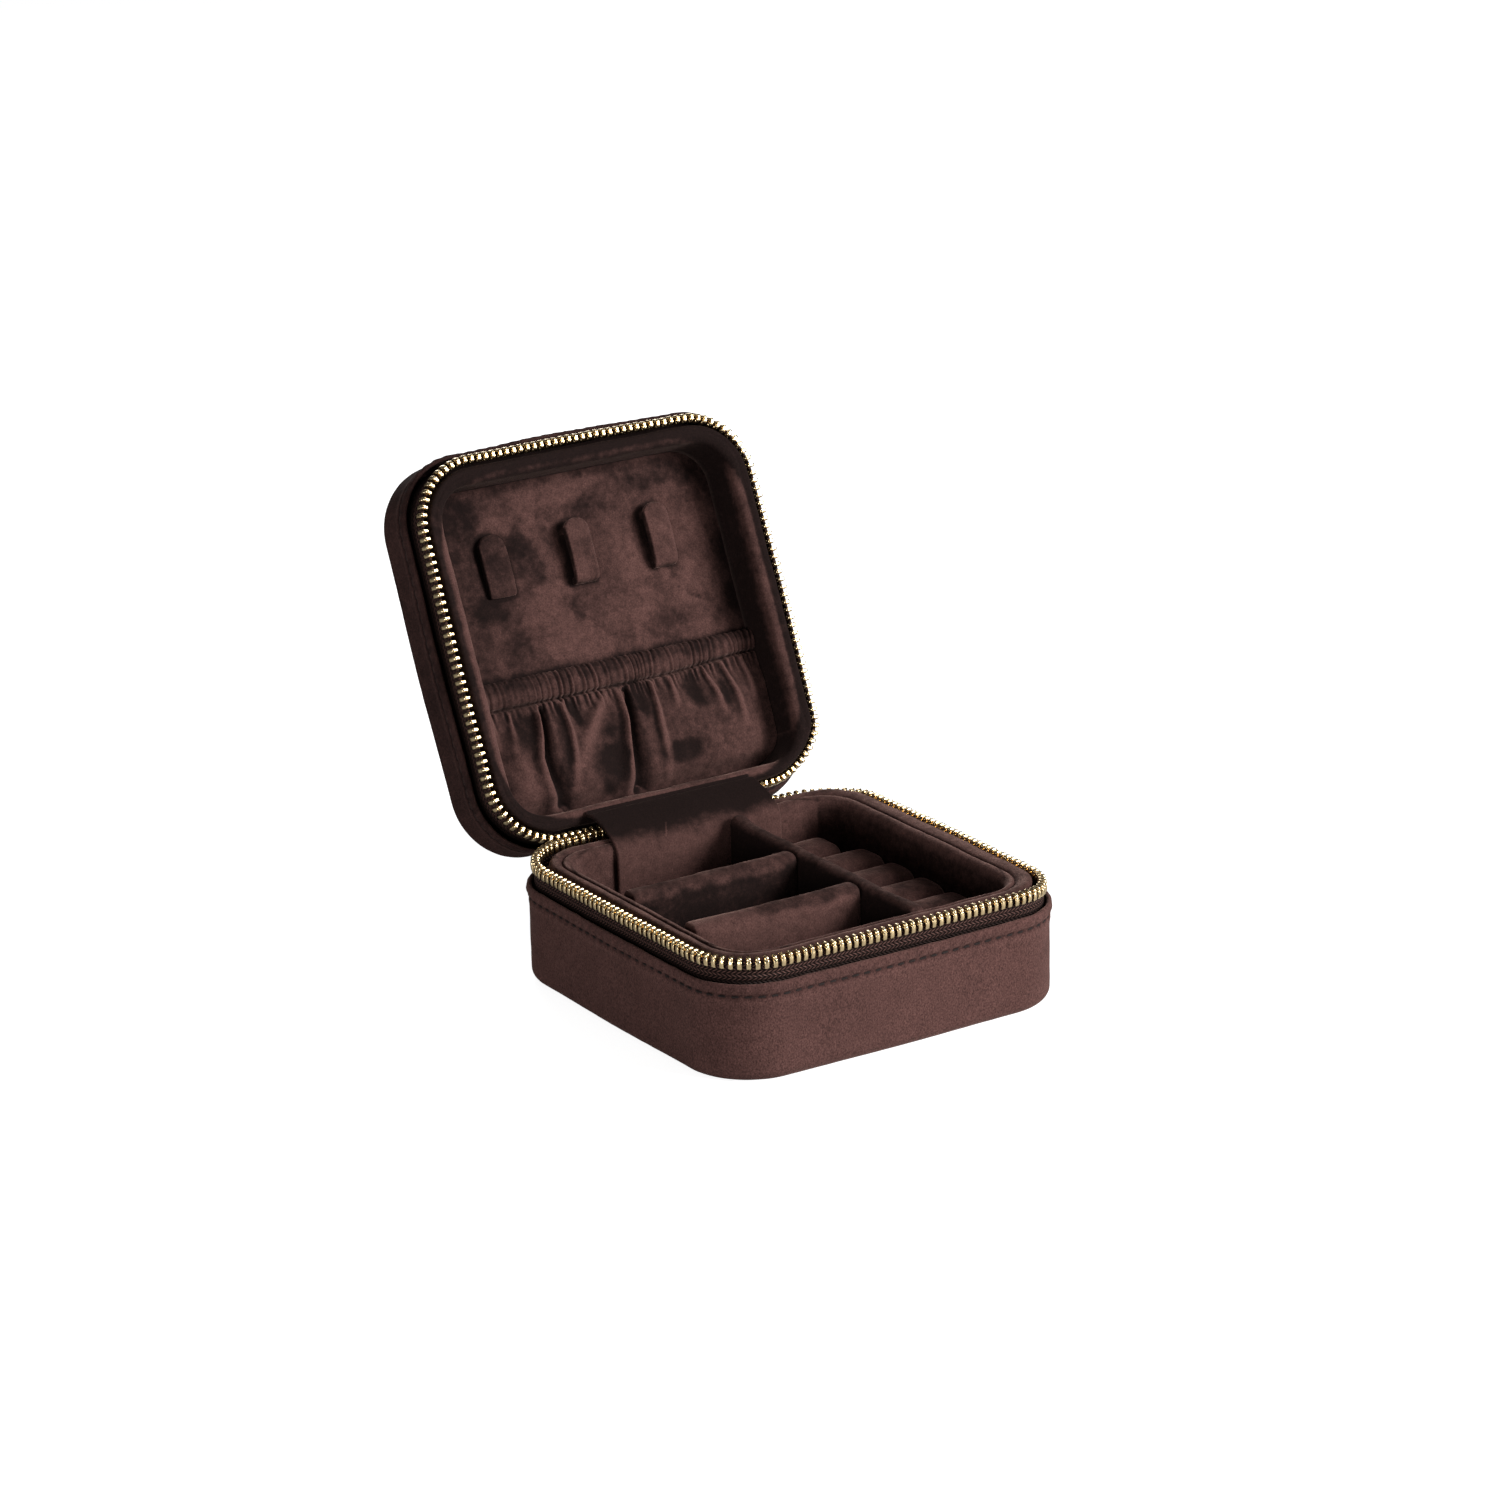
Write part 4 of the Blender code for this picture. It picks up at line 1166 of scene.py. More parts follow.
def flat_pad(name, half, radius, z_face, z_back, mat, body, node, seed, crown, nap,
             relief=None):
    """A cushion with a crowned, slightly uneven face; relief is added to it."""
    thick = z_face - z_back
    rows = [(1.0, 0.5, z_back), (20, 8, z_back), (38, radius - 2, z_back),
            (half, radius, z_back), (half, radius, z_back + thick * 0.6),
            (half - 0.25, radius - 0.2, z_face - thick * 0.12),
            (half - 0.9, radius - 0.7, z_face)]
    for k in range(1, 40):
        share = 1 - k / 40
        rows.append((max((half - 0.9) * share, 0.3), max((radius - 0.7) * share, 0.15), z_face))
    ob = sweep(name, rows, mat, body, n_side=40, n_corner=12)
    pts = turned(mesh_points(ob.data) * 1000, -BODY_TURN[body])
    on_face = np.abs(pts[:, 2] - z_face) < 1e-3
    lift = crown * (1 - (np.abs(pts[:, 0]) / half) ** 2.5) \
        * (1 - (np.abs(pts[:, 1]) / half) ** 2.5)
    lift = lift + 0.16 * fbm(pts, 15, seed, 2) + 0.03 * noise(pts, 2.4, seed + 2)
    if relief is not None:
        lift = lift + relief(pts)
    pts[:, 2] += np.where(on_face, lift * np.sign(thick), 0)
    reshape_mesh(ob.data, pts, body, nap)
    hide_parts(node)
    return ob


# The compartment floor gets painted shade all over.
def floor_painted_shade(pts):
    return np.full(len(pts), -0.3)


def panel_creases(pts):
    return sum(depth * bell(path_distance(pts[:, :2], (start, end))[0], 0, width)
               for start, end, width, depth in PANEL_CREASES)


def panel_nap_and_shade(pts):
    nap = spots(pts, PANEL_SPOTS)
    x, y = pts[:, 0], pts[:, 1]
    for low, high in TABS.values():          # painted contact shadow round each tab
        mid, half = (low[0] + high[0]) / 2, (high[0] - low[0]) / 2
        round_y = low[1] + half
        beside = np.maximum(np.abs(x - mid) - half, 0)
        round_end = np.hypot(np.maximum(round_y - y, 0), x - mid) - half
        dist = np.where(y < round_y, np.abs(round_end),
                        np.hypot(beside, np.maximum(y - high[1], 0)))
        nap -= 0.50 * bell(dist, 0, 0.75)
    # painted shadow along the pocket hem's top edge
    nap -= 0.55 * bell(y, HEM_TOP, 1.1)
    nap = 1.10 * nap - 0.03 - 0.16 * ramp(-8, -34, x) - 0.03 * ramp(24, 38, x)
    # painted shade beside the rim
    return nap - 0.30 * ramp(38.0, 41.5, outward(pts, 25.0)[0])


floor_pad = flat_pad("compartment_floor", half=45.6, radius=13.1, z_face=5.35, z_back=2.95,
                     mat=DIVIDER_VELVET, body="base", node="base_floor_pad", seed=91,
                     crown=0.15, nap=floor_painted_shade)
panel = flat_pad("lid_velvet_panel", half=45.2, radius=14.2, z_face=PANEL_Z, z_back=48.5,
                 mat=PANEL_VELVET, body="lid", node="lid_panel_pad", seed=95, crown=0.35,
                 nap=panel_nap_and_shade, relief=panel_creases)

# --- Padded dividers and ring rolls ---
SOFT = []                            # pieces to inflate: object, kind, body, nap with its painted light and shade
TOP_STEPS, SIDE_STEPS = 18, 16
# Painted highlights on the ring rolls.
ROLL_HIGHLIGHTS = ((22.0, -6.5, 5.0, 3.0, 0.34, 20), (29.0, -17.5, 3.6, 2.4, 0.34, 0),
              (20.0, 6.0, 4.0, 2.2, 0.16, 0))


def divider(name, node, kind, body, seed, nap, radius=2.0, bulge=0.2, ends=(0.0, 0.9),
            slim=0.2, n_len=90, back_rise=0.0):
    """A padded wall with a rounded top edge and sides that belly out a little. ends:
    radius of the two upper corners; slim: taken off each side of the CAD node;
    back_rise: how much its high end is lifted. Kind main runs along Y, cross along X."""
    low, high = node_box(node)
    along, across = (1, 0) if kind == "main" else (0, 1)
    low[across] += slim
    high[across] -= slim
    half = (high[across] - low[across]) / 2
    mid = (high[across] + low[across]) / 2
    side = [low[2] + (high[2] - radius - low[2]) * i / SIDE_STEPS for i in range(SIDE_STEPS)]
    outline = [(half, z) for z in side]
    for i in range(TOP_STEPS + 1):
        angle = math.pi * i / TOP_STEPS
        cos = math.cos(angle)
        outline.append(((half - radius) * math.copysign(1, cos) * min(1, abs(cos) * 6)
                        + radius * cos, high[2] - radius + radius * math.sin(angle)))
    outline += [(-half, z) for z in side[::-1]]
    length = high[along] - low[along]
    verts = []
    for i in range(n_len + 1):
        t = 0.5 - 0.5 * math.cos(math.pi * i / n_len)
        gaps = t * length, (1 - t) * length
        drop, tuck = 0.0, 1.0
        for gap, corner in zip(gaps, ends):
            if corner > 0:
                drop += corner * (1 - round_off(gap / corner))
            tuck *= 1 - 0.30 * (1 - min(gap / 0.8, 1)) ** 2
        rise = back_rise * float(ramp(7.0, 0, gaps[1]))
        swollen = float(ramp(0, 6, min(gaps)))
        for off, z in outline:
            height = (z - low[2]) / (high[2] - low[2])
            belly = bulge * math.sin(math.pi * min(max(height, 0), 1)) * swollen
            point = [0, 0, z + (rise - drop) * max(0, (height - 0.55) / 0.45)]
            point[along] = low[along] + t * length
            point[across] = mid + off * tuck \
                + math.copysign(belly, off) * min(1, abs(off) / half)
            verts.append(point)
    rows, cols = n_len + 1, len(outline)
    flat = np.array(verts)
    normals = grid_normals(flat.reshape(rows, cols, 3), False).reshape(-1, 3)
    core = flat.copy()
    core[:, across] = mid
    core[:, 2] = np.minimum(flat[:, 2], high[2] - radius)
    uneven = 0.12 * fbm(flat, 8, seed, 2) + 0.04 * noise(flat, 2.2, seed + 1)
    flat = swell(flat, normals, core, uneven * ramp(low[2], low[2] + 2, flat[:, 2]))
    faces = grid_faces(rows, cols, False)
    faces += [[i * cols, (i + 1) * cols, (i + 1) * cols + cols - 1, i * cols + cols - 1]
              for i in range(rows - 1)]
    ob = build(name, flat, faces + end_faces(rows, cols), DIVIDER_VELVET, body, nap=nap,
               replaces=(node,))
    SOFT.append((ob, kind, body, nap))


def main_nap_and_shade(pts):
    x, _, z = pts.T
    # pile tone and noise, with painted shade on the top
    nap = np.full(len(pts), -0.12) + 0.10 * noise(pts, 6, 331) - 0.24 * ramp(28.0, 29.2, z)
    # painted shade on the face that turns left, away from the lamp
    nap -= 0.72 * (1 - ramp(8.0, 9.4, x)) * (1 - ramp(27.6, 29.4, z))
    # painted highlight along the top's left edge
    nap += 0.16 * bell(x, 8.9, 0.5) * ramp(28.0, 29.0, z)
    return nap


def rear_nap_and_shade(pts):
    _, y, z = pts.T
    front = 1 - ramp(6.4, 7.6, y)
    low = 1 - ramp(26.6, 28.6, z + 0.8 * noise(pts, 3.5, 333))
    # painted shadow on the lower front face and painted shade on the top, over pile noise
    return 0.06 - 0.74 * front * low + 0.10 * noise(pts, 5, 335) - 0.30 * ramp(27.0, 28.8, z)


def front_nap_and_shade(pts):
    x, _, z = pts.T
    top = ramp(27.4, 28.8, z + 0.9 * noise(pts, 4.0, 337)) \
        * ramp(-36, -14, x + 4 * noise(pts, 6, 338))
    # painted light on the front face, painted shade on the top towards the left
    return 0.24 - 0.60 * top + 0.10 * noise(pts, 5, 339)


def roll_nap_and_shade(pts):
    _, y, z = pts.T
    nap = -0.06 + 0.14 * fbm(pts, 7, 341, 2)
    # light and dark bands at about the pitch of the rolls
    nap += 0.16 * np.cos(2 * np.pi * y / 12.8)
    # painted highlights on the lit rolls
    nap += spots(pts, ROLL_HIGHLIGHTS)
    # lighter towards the back, painted shade low down
    return nap + 0.12 * ramp(2, 20, y) - 0.1 * ramp(16, 10, z)


def ring_roll(number):
    """A velvet roll along X, squeezed flat where it touches its neighbours."""
    n_len, n_round = 60, 52
    node = "ring_roll_%d" % number
    low, high = node_box(node)
    radius = (high[2] - low[2]) / 2
    mid_y, mid_z = (high[1] + low[1]) / 2, (high[2] + low[2]) / 2
    length = high[0] - low[0]
    verts = []
    for i in range(n_len + 1):
        t = 0.5 - 0.5 * math.cos(math.pi * i / n_len)
        size = radius * (round_off(min(t, 1 - t) * length / 2.2) * 0.45 + 0.55)
        for j in range(n_round):
            angle = 2 * math.pi * j / n_round
            verts.append((low[0] + t * length,
                          mid_y + size * signed_power(math.cos(angle), 0.50),
                          mid_z + size * signed_power(math.sin(angle), 0.64)))
    flat = np.array(verts)
    out = flat - np.array([0, mid_y, mid_z])
    out[:, 0] = 0
    out /= np.linalg.norm(out, axis=1)[:, None] + 1e-9
    flat = flat - out * (0.14 + 0.12 * fbm(flat, 6, 120 + number, 2))[:, None]
    ob = build("ring_roll_velvet_%d" % number, flat, tube_faces(n_len + 1, n_round),
               DIVIDER_VELVET, "base", nap=roll_nap_and_shade, replaces=(node,))
    SOFT.append((ob, "roll", "base", roll_nap_and_shade))


divider("main_padded_divider", "main_divider", "main", "base", 101, main_nap_and_shade, radius=2.05,
        bulge=0.05, ends=(0.6, 1.6), slim=0.0, n_len=150, back_rise=1.0)
divider("rear_padded_divider", "rear_cross_divider", "cross", "rear_divider", 103, rear_nap_and_shade)
divider("front_padded_divider", "front_cross_divider", "cross", "front_divider", 105, front_nap_and_shade)
SOFT.append((floor_pad, "floor", "base", floor_painted_shade))
SOFT.append((panel, "panel", "lid", panel_nap_and_shade))
for i in range(1, 7):
    ring_roll(i)

# --- Gathered pocket with its ruffled elastic hem ---
# Creases, where the cloth doubles under itself: points (x, y), height, width.
CREASES = (
    ([(-22.7, 14.6), (-25.6, 27.6), (-23.4, 39.4)], -2.6, 0.85),
    ([(1.7, 14.4), (0.0, 26.0), (-1.0, 40.0)], -2.9, 0.90))
# Crests, soft ridges that fan out of the gathers, in the same columns.
CRESTS = (
    ([(-24.6, 16.4), (-27.2, 25.0), (-26.2, 33.0)], 0.85, 1.7),
    ([(-16.9, 15.2), (-18.0, 28.0), (-19.4, 37.0)], 1.15, 1.05),
    ([(-5.2, 15.6), (-12.6, 23.8), (-16.2, 31.0)], 0.90, 1.9),
    ([(-0.9, 15.2), (-1.9, 27.0), (-2.8, 37.5)], 0.70, 1.2),
    ([(9.3, 14.8), (7.9, 25.4), (8.2, 38.9)], 1.15, 1.15),
    ([(15.2, 15.0), (14.2, 22.0)], 0.55, 0.9),
    ([(25.0, 14.4), (27.6, 26.0)], 0.75, 0.9),
    ([(30.8, 13.9), (33.0, 30.0)], 0.75, 0.95),
    ([(36.6, 13.4), (37.4, 24.0)], 0.55, 0.9),
    ([(-32.0, 15.2), (-33.5, 24.0)], 0.50, 1.0),
    ([(-37.2, 15.2), (-37.8, 23.0)], 0.45, 0.8))
# Hollows: x, y, half width, half height, amount.
DIPS = ((-7.9, 30.5, 5.6, 8.0, -1.15), (12.8, 33.4, 6.5, 3.4, -0.7),
        (-30.6, 19.0, 4.5, 5.0, -0.6), (20.4, 19.4, 2.8, 5.4, -0.7),
        (28.4, 21.4, 1.6, 4.6, -0.4), (4.4, 18.6, 2.0, 5.0, -0.5),
        (-14.2, 18.4, 1.7, 4.2, -0.6), (-20.0, 19.5, 1.6, 4.2, -0.4))
# Mostly painted shade in the pocket's hollows, with two lighter patches near its lower corners.
POCKET_SPOTS = (
    (-7.9, 30.6, 5.2, 7.4, -0.50, 8), (12.8, 33.4, 6.5, 3.0, -0.40, 0),
    (-30.8, 19.5, 4.6, 5.0, -0.30, 0), (20.4, 19.2, 2.7, 5.0, -0.42, 0),
    (28.4, 21.2, 1.5, 4.4, -0.34, 6), (4.4, 18.0, 2.2, 5.4, -0.42, 0),
    (-14.2, 18.2, 1.8, 4.0, -0.40, 0), (-35.0, 26.0, 3.0, 7.0, -0.04, 0),
    (31.0, 33.0, 8.0, 6.0, 0.12, 0), (-33.0, 33.0, 7.0, 8.0, 0.20, 0),
    (-20.5, 28.0, 2.6, 8.0, -0.16, 4))
GATHER = 1.62                        # pitch of the main gathers


def seam_y(x):
    """Seam between the hem and the pocket's bag."""
    return 13.55 - 1.45 * ramp(12.0, 41.0, x)


def hem_share(y, seam):
    """0 at the hem's top edge, 1 at its seam."""
    return np.clip((y - HEM_TOP) / np.maximum(seam - HEM_TOP, 1), 0, 1)


def pleats(x, y, amount):
    """Irregular fine gathers across x that wander a little as they run down."""
    pts = np.column_stack([x, y * 0.25, 0 * x])
    wander = 1.5 * noise(pts, 6.0, 143)
    size = 0.55 + 0.45 * noise(pts, 5.0, 149)
    main = np.sin(2 * np.pi * (x + wander) / GATHER)
    fine = np.sin(2 * np.pi * (x + 1.7 * wander) / 1.04 + 1.3)
    return size * (main + 0.55 * fine) * amount


def pocket_height(x, y):
    """Distance the pocket stands off the panel."""
    flat = np.column_stack([x, y])
    seam = seam_y(x)
    hem = 1 - ramp(seam - 0.45, seam + 0.45, y)
    down = y - seam
    bag = ramp(0.2, 10.0, down) * (1 - ramp(34.0, 42.5, y))
    height = 2.35 + 2.6 * bag * (1 - 0.6 * ramp(32.0, 41.6, np.abs(x)))
    height = height * (1 - 0.72 * ramp(37.0, 42.0, y))
    height += 0.22 * fbm(np.column_stack([x, y, 0 * x]) * [1.3, 0.6, 1], 8, 141, 2) \
        * ramp(0, 5, down) * (1 - ramp(36, 41, y))
    for path, high, width in CRESTS:
        dist, _ = path_distance(flat, path)
        first, last = path[0][1], path[-1][1]
        fade = ramp(first - 2.5, first + 1.0, y) \
            * (1 - ramp(first + 0.45 * (last - first), last + 1.5, y))
        height += high * bell(dist, 0, width * (0.62 + 0.75 * ramp(first, last, y))) * fade
    for path, deep, width in CREASES:
        dist, side = path_distance(flat, path)
        first, last = path[0][1], path[-1][1]
        fade = ramp(first - 1.2, first + 2.5, y) * (1 - 0.35 * ramp(last - 6, last, y))
        width = width * (0.65 + 0.75 * ramp(first, last, y))
        # steep on the lapping side, long and easy on the other
        height += deep * bell(dist, 0, np.where(side > 0, width, width * 2.1)) * fade
        height += -deep * 0.30 * bell(dist, 2.4 * width, 1.5 * width) * fade * (side > 0)
    for mid_x, mid_y, wide, high, amount in DIPS:
        height += amount * np.exp(-(((x - mid_x) / wide) ** 2 + ((y - mid_y) / high) ** 2) * 1.1)
    height += pleats(x, y, 0.24 * hem + 0.26 * (1 - hem) * (1 - ramp(0.0, 6.0, down)))
    height += hem * 1.25 * np.sin(hem_share(y, seam) * np.pi) ** 0.7
    height -= 1.05 * bell(y, seam, 0.42)
    return np.maximum(height, 0.45)


def pocket_nap_and_shade(pts):
    x, y = pts[:, 0], pts[:, 1]
    seam = seam_y(x)
    nap = 1.35 * spots(pts, POCKET_SPOTS)
    # painted highlights on the crests
    for path, _, width in CRESTS:
        dist, _ = path_distance(pts[:, :2], path)
        nap += 0.40 * bell(dist, 0, 0.9 * width) * (y > path[0][1] - 1) * (y < path[-1][1] + 1)
    # painted shade in the creases
    for path, _, width in CREASES:
        dist, _ = path_distance(pts[:, :2], path)
        nap -= 0.75 * bell(dist, 0, 0.95 * width) * (y > path[0][1])
    step, wide = 0.35, 0.9
    slope = (pocket_height(x + step, y) - pocket_height(x - step, y)) / (2 * step)
    curve = (pocket_height(x + wide, y) + pocket_height(x - wide, y)
             - 2 * pocket_height(x, y)) / 0.81
    body = (y > seam + 0.6).astype(float)
    # painted light on slopes that face right, towards the lamp, and on rounded tops; painted shade
    # in hollows
    nap += body * (-0.70 * np.clip(slope, -0.6, 0.6) - 0.34 * np.clip(curve, -0.7, 0.7) - 0.18)
    hem = (y < seam).astype(float)
    share = hem_share(y, seam) + 0.10 * noise(pts, 3, 351)
    nap -= 0.14 * hem + 0.30 * hem * (1 - ramp(0.30, 0.62, share))
    # painted shade in the seam's groove
    nap -= 0.45 * bell(y, seam, 0.40)
    # painted light and shade on the fine gathers
    nap += 0.62 * (pleats(x, y, 0.40) * (hem * 1.1 + (1 - hem) * (1 - ramp(0, 5, y - seam))))
    nap += 0.16 * hem * noise(pts * [1.0, 0.5, 0.0], 2.6, 353)
    return nap


def gathered_pocket():
    cols, rows, hem_rows = 520, 230, 66
    half, radius, bottom = 41.55, 9.4, 41.4
    # 0 to 1 down the hem, 1 to 2 down the bag
    shares = np.concatenate([np.linspace(0, 1, hem_rows, endpoint=False),
                             np.linspace(1, 2, rows - hem_rows)])
    x, share = np.meshgrid(np.linspace(-half, half, cols), shares)
    seam = seam_y(x)
    y = np.where(share <= 1, HEM_TOP + (seam - HEM_TOP) * share,
                 seam + (bottom - seam) * (share - 1))
    # keep the lower corners inside the liner's corner
    over = np.maximum(y - (half - radius), 0)
    inset = np.sqrt(np.maximum(radius * radius - over * over, 0.04))
    x = x / half * np.where(over <= 0, half, (half - radius) + inset)
    x, y = x.ravel(), y.ravel()
    line = np.column_stack([x, 0 * x, 0 * x])
    wave = 0.10 * np.sin(2 * np.pi * (x + 1.5 * noise(line, 6.0, 143)) / GATHER) \
        + 0.16 * noise(line, 11, 147)
    waved_y = y + wave * (1 - ramp(HEM_TOP, HEM_TOP + 2.5, y))
    height = pocket_height(x, y)
    front = np.column_stack([x, waved_y, PANEL_Z - height])
    back = np.column_stack([x, waved_y, PANEL_Z - np.maximum(height - 0.75, 0.12)])
    # rolled top edge of the hem
    roll = 1 - ramp(0, 0.8, y - HEM_TOP)
    front[:, 2] += roll * 0.30
    back[:, 2] -= roll * 0.12
    build("gathered_pocket", np.vstack([front, back]), slab_faces(rows, cols),
          POCKET_VELVET, "lid", nap=pocket_nap_and_shade, replaces=("pocket_panel", "pocket_hem"))


gathered_pocket()

# --- Snap tabs: velvet straps, round at the free end, over press studs ---
TAB_TONES = {"left": -0.34, "middle": -0.02, "right": 0.10}


def snap_tab(label, seed):
    low, high = TABS[label]
    body = "tab_%s_body" % label
    mid, half = (low[0] + high[0]) / 2, (high[0] - low[0]) / 2
    free_y, foot_y, near, foot = low[1], high[1], low[2], high[2]
    lies_flat = label == "left"      # the other two are folded up at the foot
    thick = 1.6 if lies_flat else 2.0
    n_len, n_round = 60, 40
    # centre line (y, z) from the free end to the foot
    centre_z = near + thick / 2
    if lies_flat:
        path = [(free_y + 0.1, centre_z + 0.15), (free_y + 6, centre_z),
                (foot_y - 1.2, centre_z + 0.1), (foot_y - 0.4, centre_z + 0.25)]
    else:
        path = [(free_y + 0.1, centre_z + 0.5), (free_y + 4, centre_z + 0.1),
                (free_y + 9, centre_z), (foot_y - 2.2, centre_z + 0.15),
                (foot_y - 0.95, centre_z + 0.75), (foot_y - 0.78, near + 2.2),
                (foot_y - 0.8, foot - 0.1)]
    line, arc, normals = smooth_line(path, n_len, passes=6)
    section = []
    for k in range(n_round):
        angle = 2 * math.pi * k / n_round
        section.append((signed_power(math.cos(angle), 0.22),
                        signed_power(math.sin(angle), 0.42)))
    verts = []
    for i, gone in enumerate(arc):
        left = arc[-1] - gone
        width = half * (round_off(gone / (half - 0.15)) * 0.97 + 0.03)
        deep = thick / 2 * (0.45 + 0.55 * min(1, math.sqrt(gone / 0.9 + 1e-6)))
        if lies_flat:
            width *= 1 - 0.10 * (1 - min(left / 1.2, 1)) ** 2
            deep *= 0.5 + 0.5 * min(1, math.sqrt(left / 0.8 + 1e-6))
        puff = 1 + 0.10 * math.sin(math.pi * min(gone / 14, 1))
        for across, off in section:
            y, z = line[i] + normals[i] * (off * deep * puff)
            verts.append((mid + across * width, y, z))
    flat = np.array(verts)
    core = np.repeat(np.column_stack([np.full(n_len, mid), line]), n_round, axis=0)
    grid = flat.reshape(n_len, n_round, 3)
    flat = swell(flat, grid_normals(grid).reshape(-1, 3), core, 0.06 * fbm(flat, 4, seed, 2))

    def tab_nap_and_shade(pts):
        x, y, z = pts[:, 0] - mid, pts[:, 1], pts[:, 2]
        nap = TAB_TONES[label] + 0.14 * noise(pts, 4, seed + 31)
        if label == "middle":
            nap -= 0.22 * bell(y, free_y + 8.0, 2.6) * (x > -0.5)
        side = ramp(half * 0.86, half * 0.99, np.abs(x))
        # painted shade on the left side, painted light on the right side
        nap -= 0.55 * side * (x < 0)
        nap += 0.20 * side * (x > 0)
        # painted highlight along the face's edges
        edge = ramp(half * 0.66, half * 0.84, np.abs(x)) * (1 - side)
        nap += (0.10 if lies_flat else 0.16) * edge
        # painted shade on the back, towards the panel
        nap -= 0.45 * ramp(near + 0.9, near + 1.8, z)
        return nap

    ob = build("velvet_snap_tab_" + label, flat, tube_faces(n_len, n_round), TAB_VELVET,
               body, nap=tab_nap_and_shade, replaces=("tab_" + label,))
    SOFT.append((ob, "tab", body, tab_nap_and_shade))


def lathe(name, outline, low, high, body, node, seg=36):
    """Gold piece turned about a Z line through its box; outline is (radius, z)."""
    mid_x, mid_y, _ = (low + high) / 2
    verts = []
    for radius, z in outline:
        for k in range(seg):
            angle = 2 * math.pi * k / seg
            verts.append((mid_x + radius * math.cos(angle), mid_y + radius * math.sin(angle), z))
    build(name, verts, tube_faces(len(outline), seg), GOLD, body, smooth=40, replaces=(node,))


def press_stud(label):
    """The socket on the tab, then the stud on the lid's panel."""
    node = "snap_socket_" + label
    low, high = node_box(node, OPEN)
    z, top = low[2], high[2]
    lathe("press_socket_" + label,
          [(0.55, z - 0.45), (0.8, z - 0.4), (0.8, z), (1.6, z), (1.78, z + 0.1),
           (1.85, z + 0.25), (1.85, top - 0.2), (1.72, top), (1.3, top), (1.2, top - 0.15),
           (1.1, top - 0.35), (0.3, top - 0.38)],
          low, high, "tab_%s_body" % label, node)
    low, high = STUDS[label]
    z, top = low[2], high[2]
    height = top - z
    lathe("press_stud_" + label,
          [(0.3, z), (0.7, z + 0.02 * height), (0.95, z + 0.15 * height),
           (0.95, z + 0.4 * height), (1.2, z + 0.55 * height), (1.6, z + 0.62 * height),
           (1.75, z + 0.78 * height), (1.75, top - 0.05), (1.6, top), (0.7, top),
           (0.7, top + 0.3)],
          low, high, "lid", "snap_stud_" + label)


for i, label in enumerate(LABELS):
    snap_tab(label, 151 + i)
for label in LABELS:
    press_stud(label)

# Stud seats in the panel: x, y, z, whether the stud is sunk below its face.
SEATS = [((low[0] + high[0]) / 2, (low[1] + high[1]) / 2, high[2] - 0.04, high[2] > PANEL_Z)
         for low, high in STUDS.values()]

# --- Padding: soft parts are remeshed and inflated as cloth, pinned where they
# are sewn or glued, then given back their finish and painted light and shade ---
GROW = MM * 10.0                     # enlarged: cloth behaves badly on parts this small
VOXEL = {"main": 0.75, "cross": 0.75, "roll": 0.85, "tab": 0.42, "floor": 1.5, "panel": 1.25}
# Largest motion of each kind.
CAP = {"main": 0.34, "cross": 0.42, "roll": 0.40, "tab": 0.14, "floor": 0.45, "panel": 0.55}
FRAMES = 20
CLOTH = dict(quality=5, mass=0.15, tension_stiffness=12, compression_stiffness=12,
             shear_stiffness=5, bending_stiffness=0.4, tension_damping=6,
             compression_damping=6, shear_damping=6, use_pressure=True,
             uniform_pressure_force=4.0, vertex_group_mass="pin", pin_stiffness=1.0)


def pin_weights(kind, pts):
    low, high = pts.min(0), pts.max(0)
    x, y, z = pts.T
    if kind in ("main", "cross"):
        k = 1 if kind == "main" else 0
        end = np.minimum(pts[:, k] - low[k], high[k] - pts[:, k])
        return np.maximum(1 - ramp(0.4, 2.6, end), 1 - ramp(1.0, 3.5, z - low[2]))
    if kind == "roll":
        end = np.minimum(x - low[0], high[0] - x)
        return np.maximum(1 - ramp(0.5, 2.5, end), 1 - ramp(0.5, 2.5, z - low[2]))
    if kind == "tab":
        return np.maximum(ramp(low[2] + 0.7, low[2] + 1.3, z),
                          ramp(high[1] - 2.2, high[1] - 1.0, y))
    half = high[0] - 0.5
    weights = ramp(half - 2.5, half - 1.0, np.maximum(np.abs(x), np.abs(y)))
    mid = (low[2] + high[2]) / 2
    back = z < mid if kind == "floor" else z > mid
    weights = np.maximum(weights, back.astype(float))
    if kind == "panel":
        for seat_x, seat_y, _, _ in SEATS:
            weights = np.maximum(weights, 1 - ramp(3.2, 5.5, np.hypot(x - seat_x, y - seat_y)))
    return weights


def evaluated_mesh(ob):
    depsgraph = bpy.context.evaluated_depsgraph_get()
    return bpy.data.meshes.new_from_object(ob.evaluated_get(depsgraph))


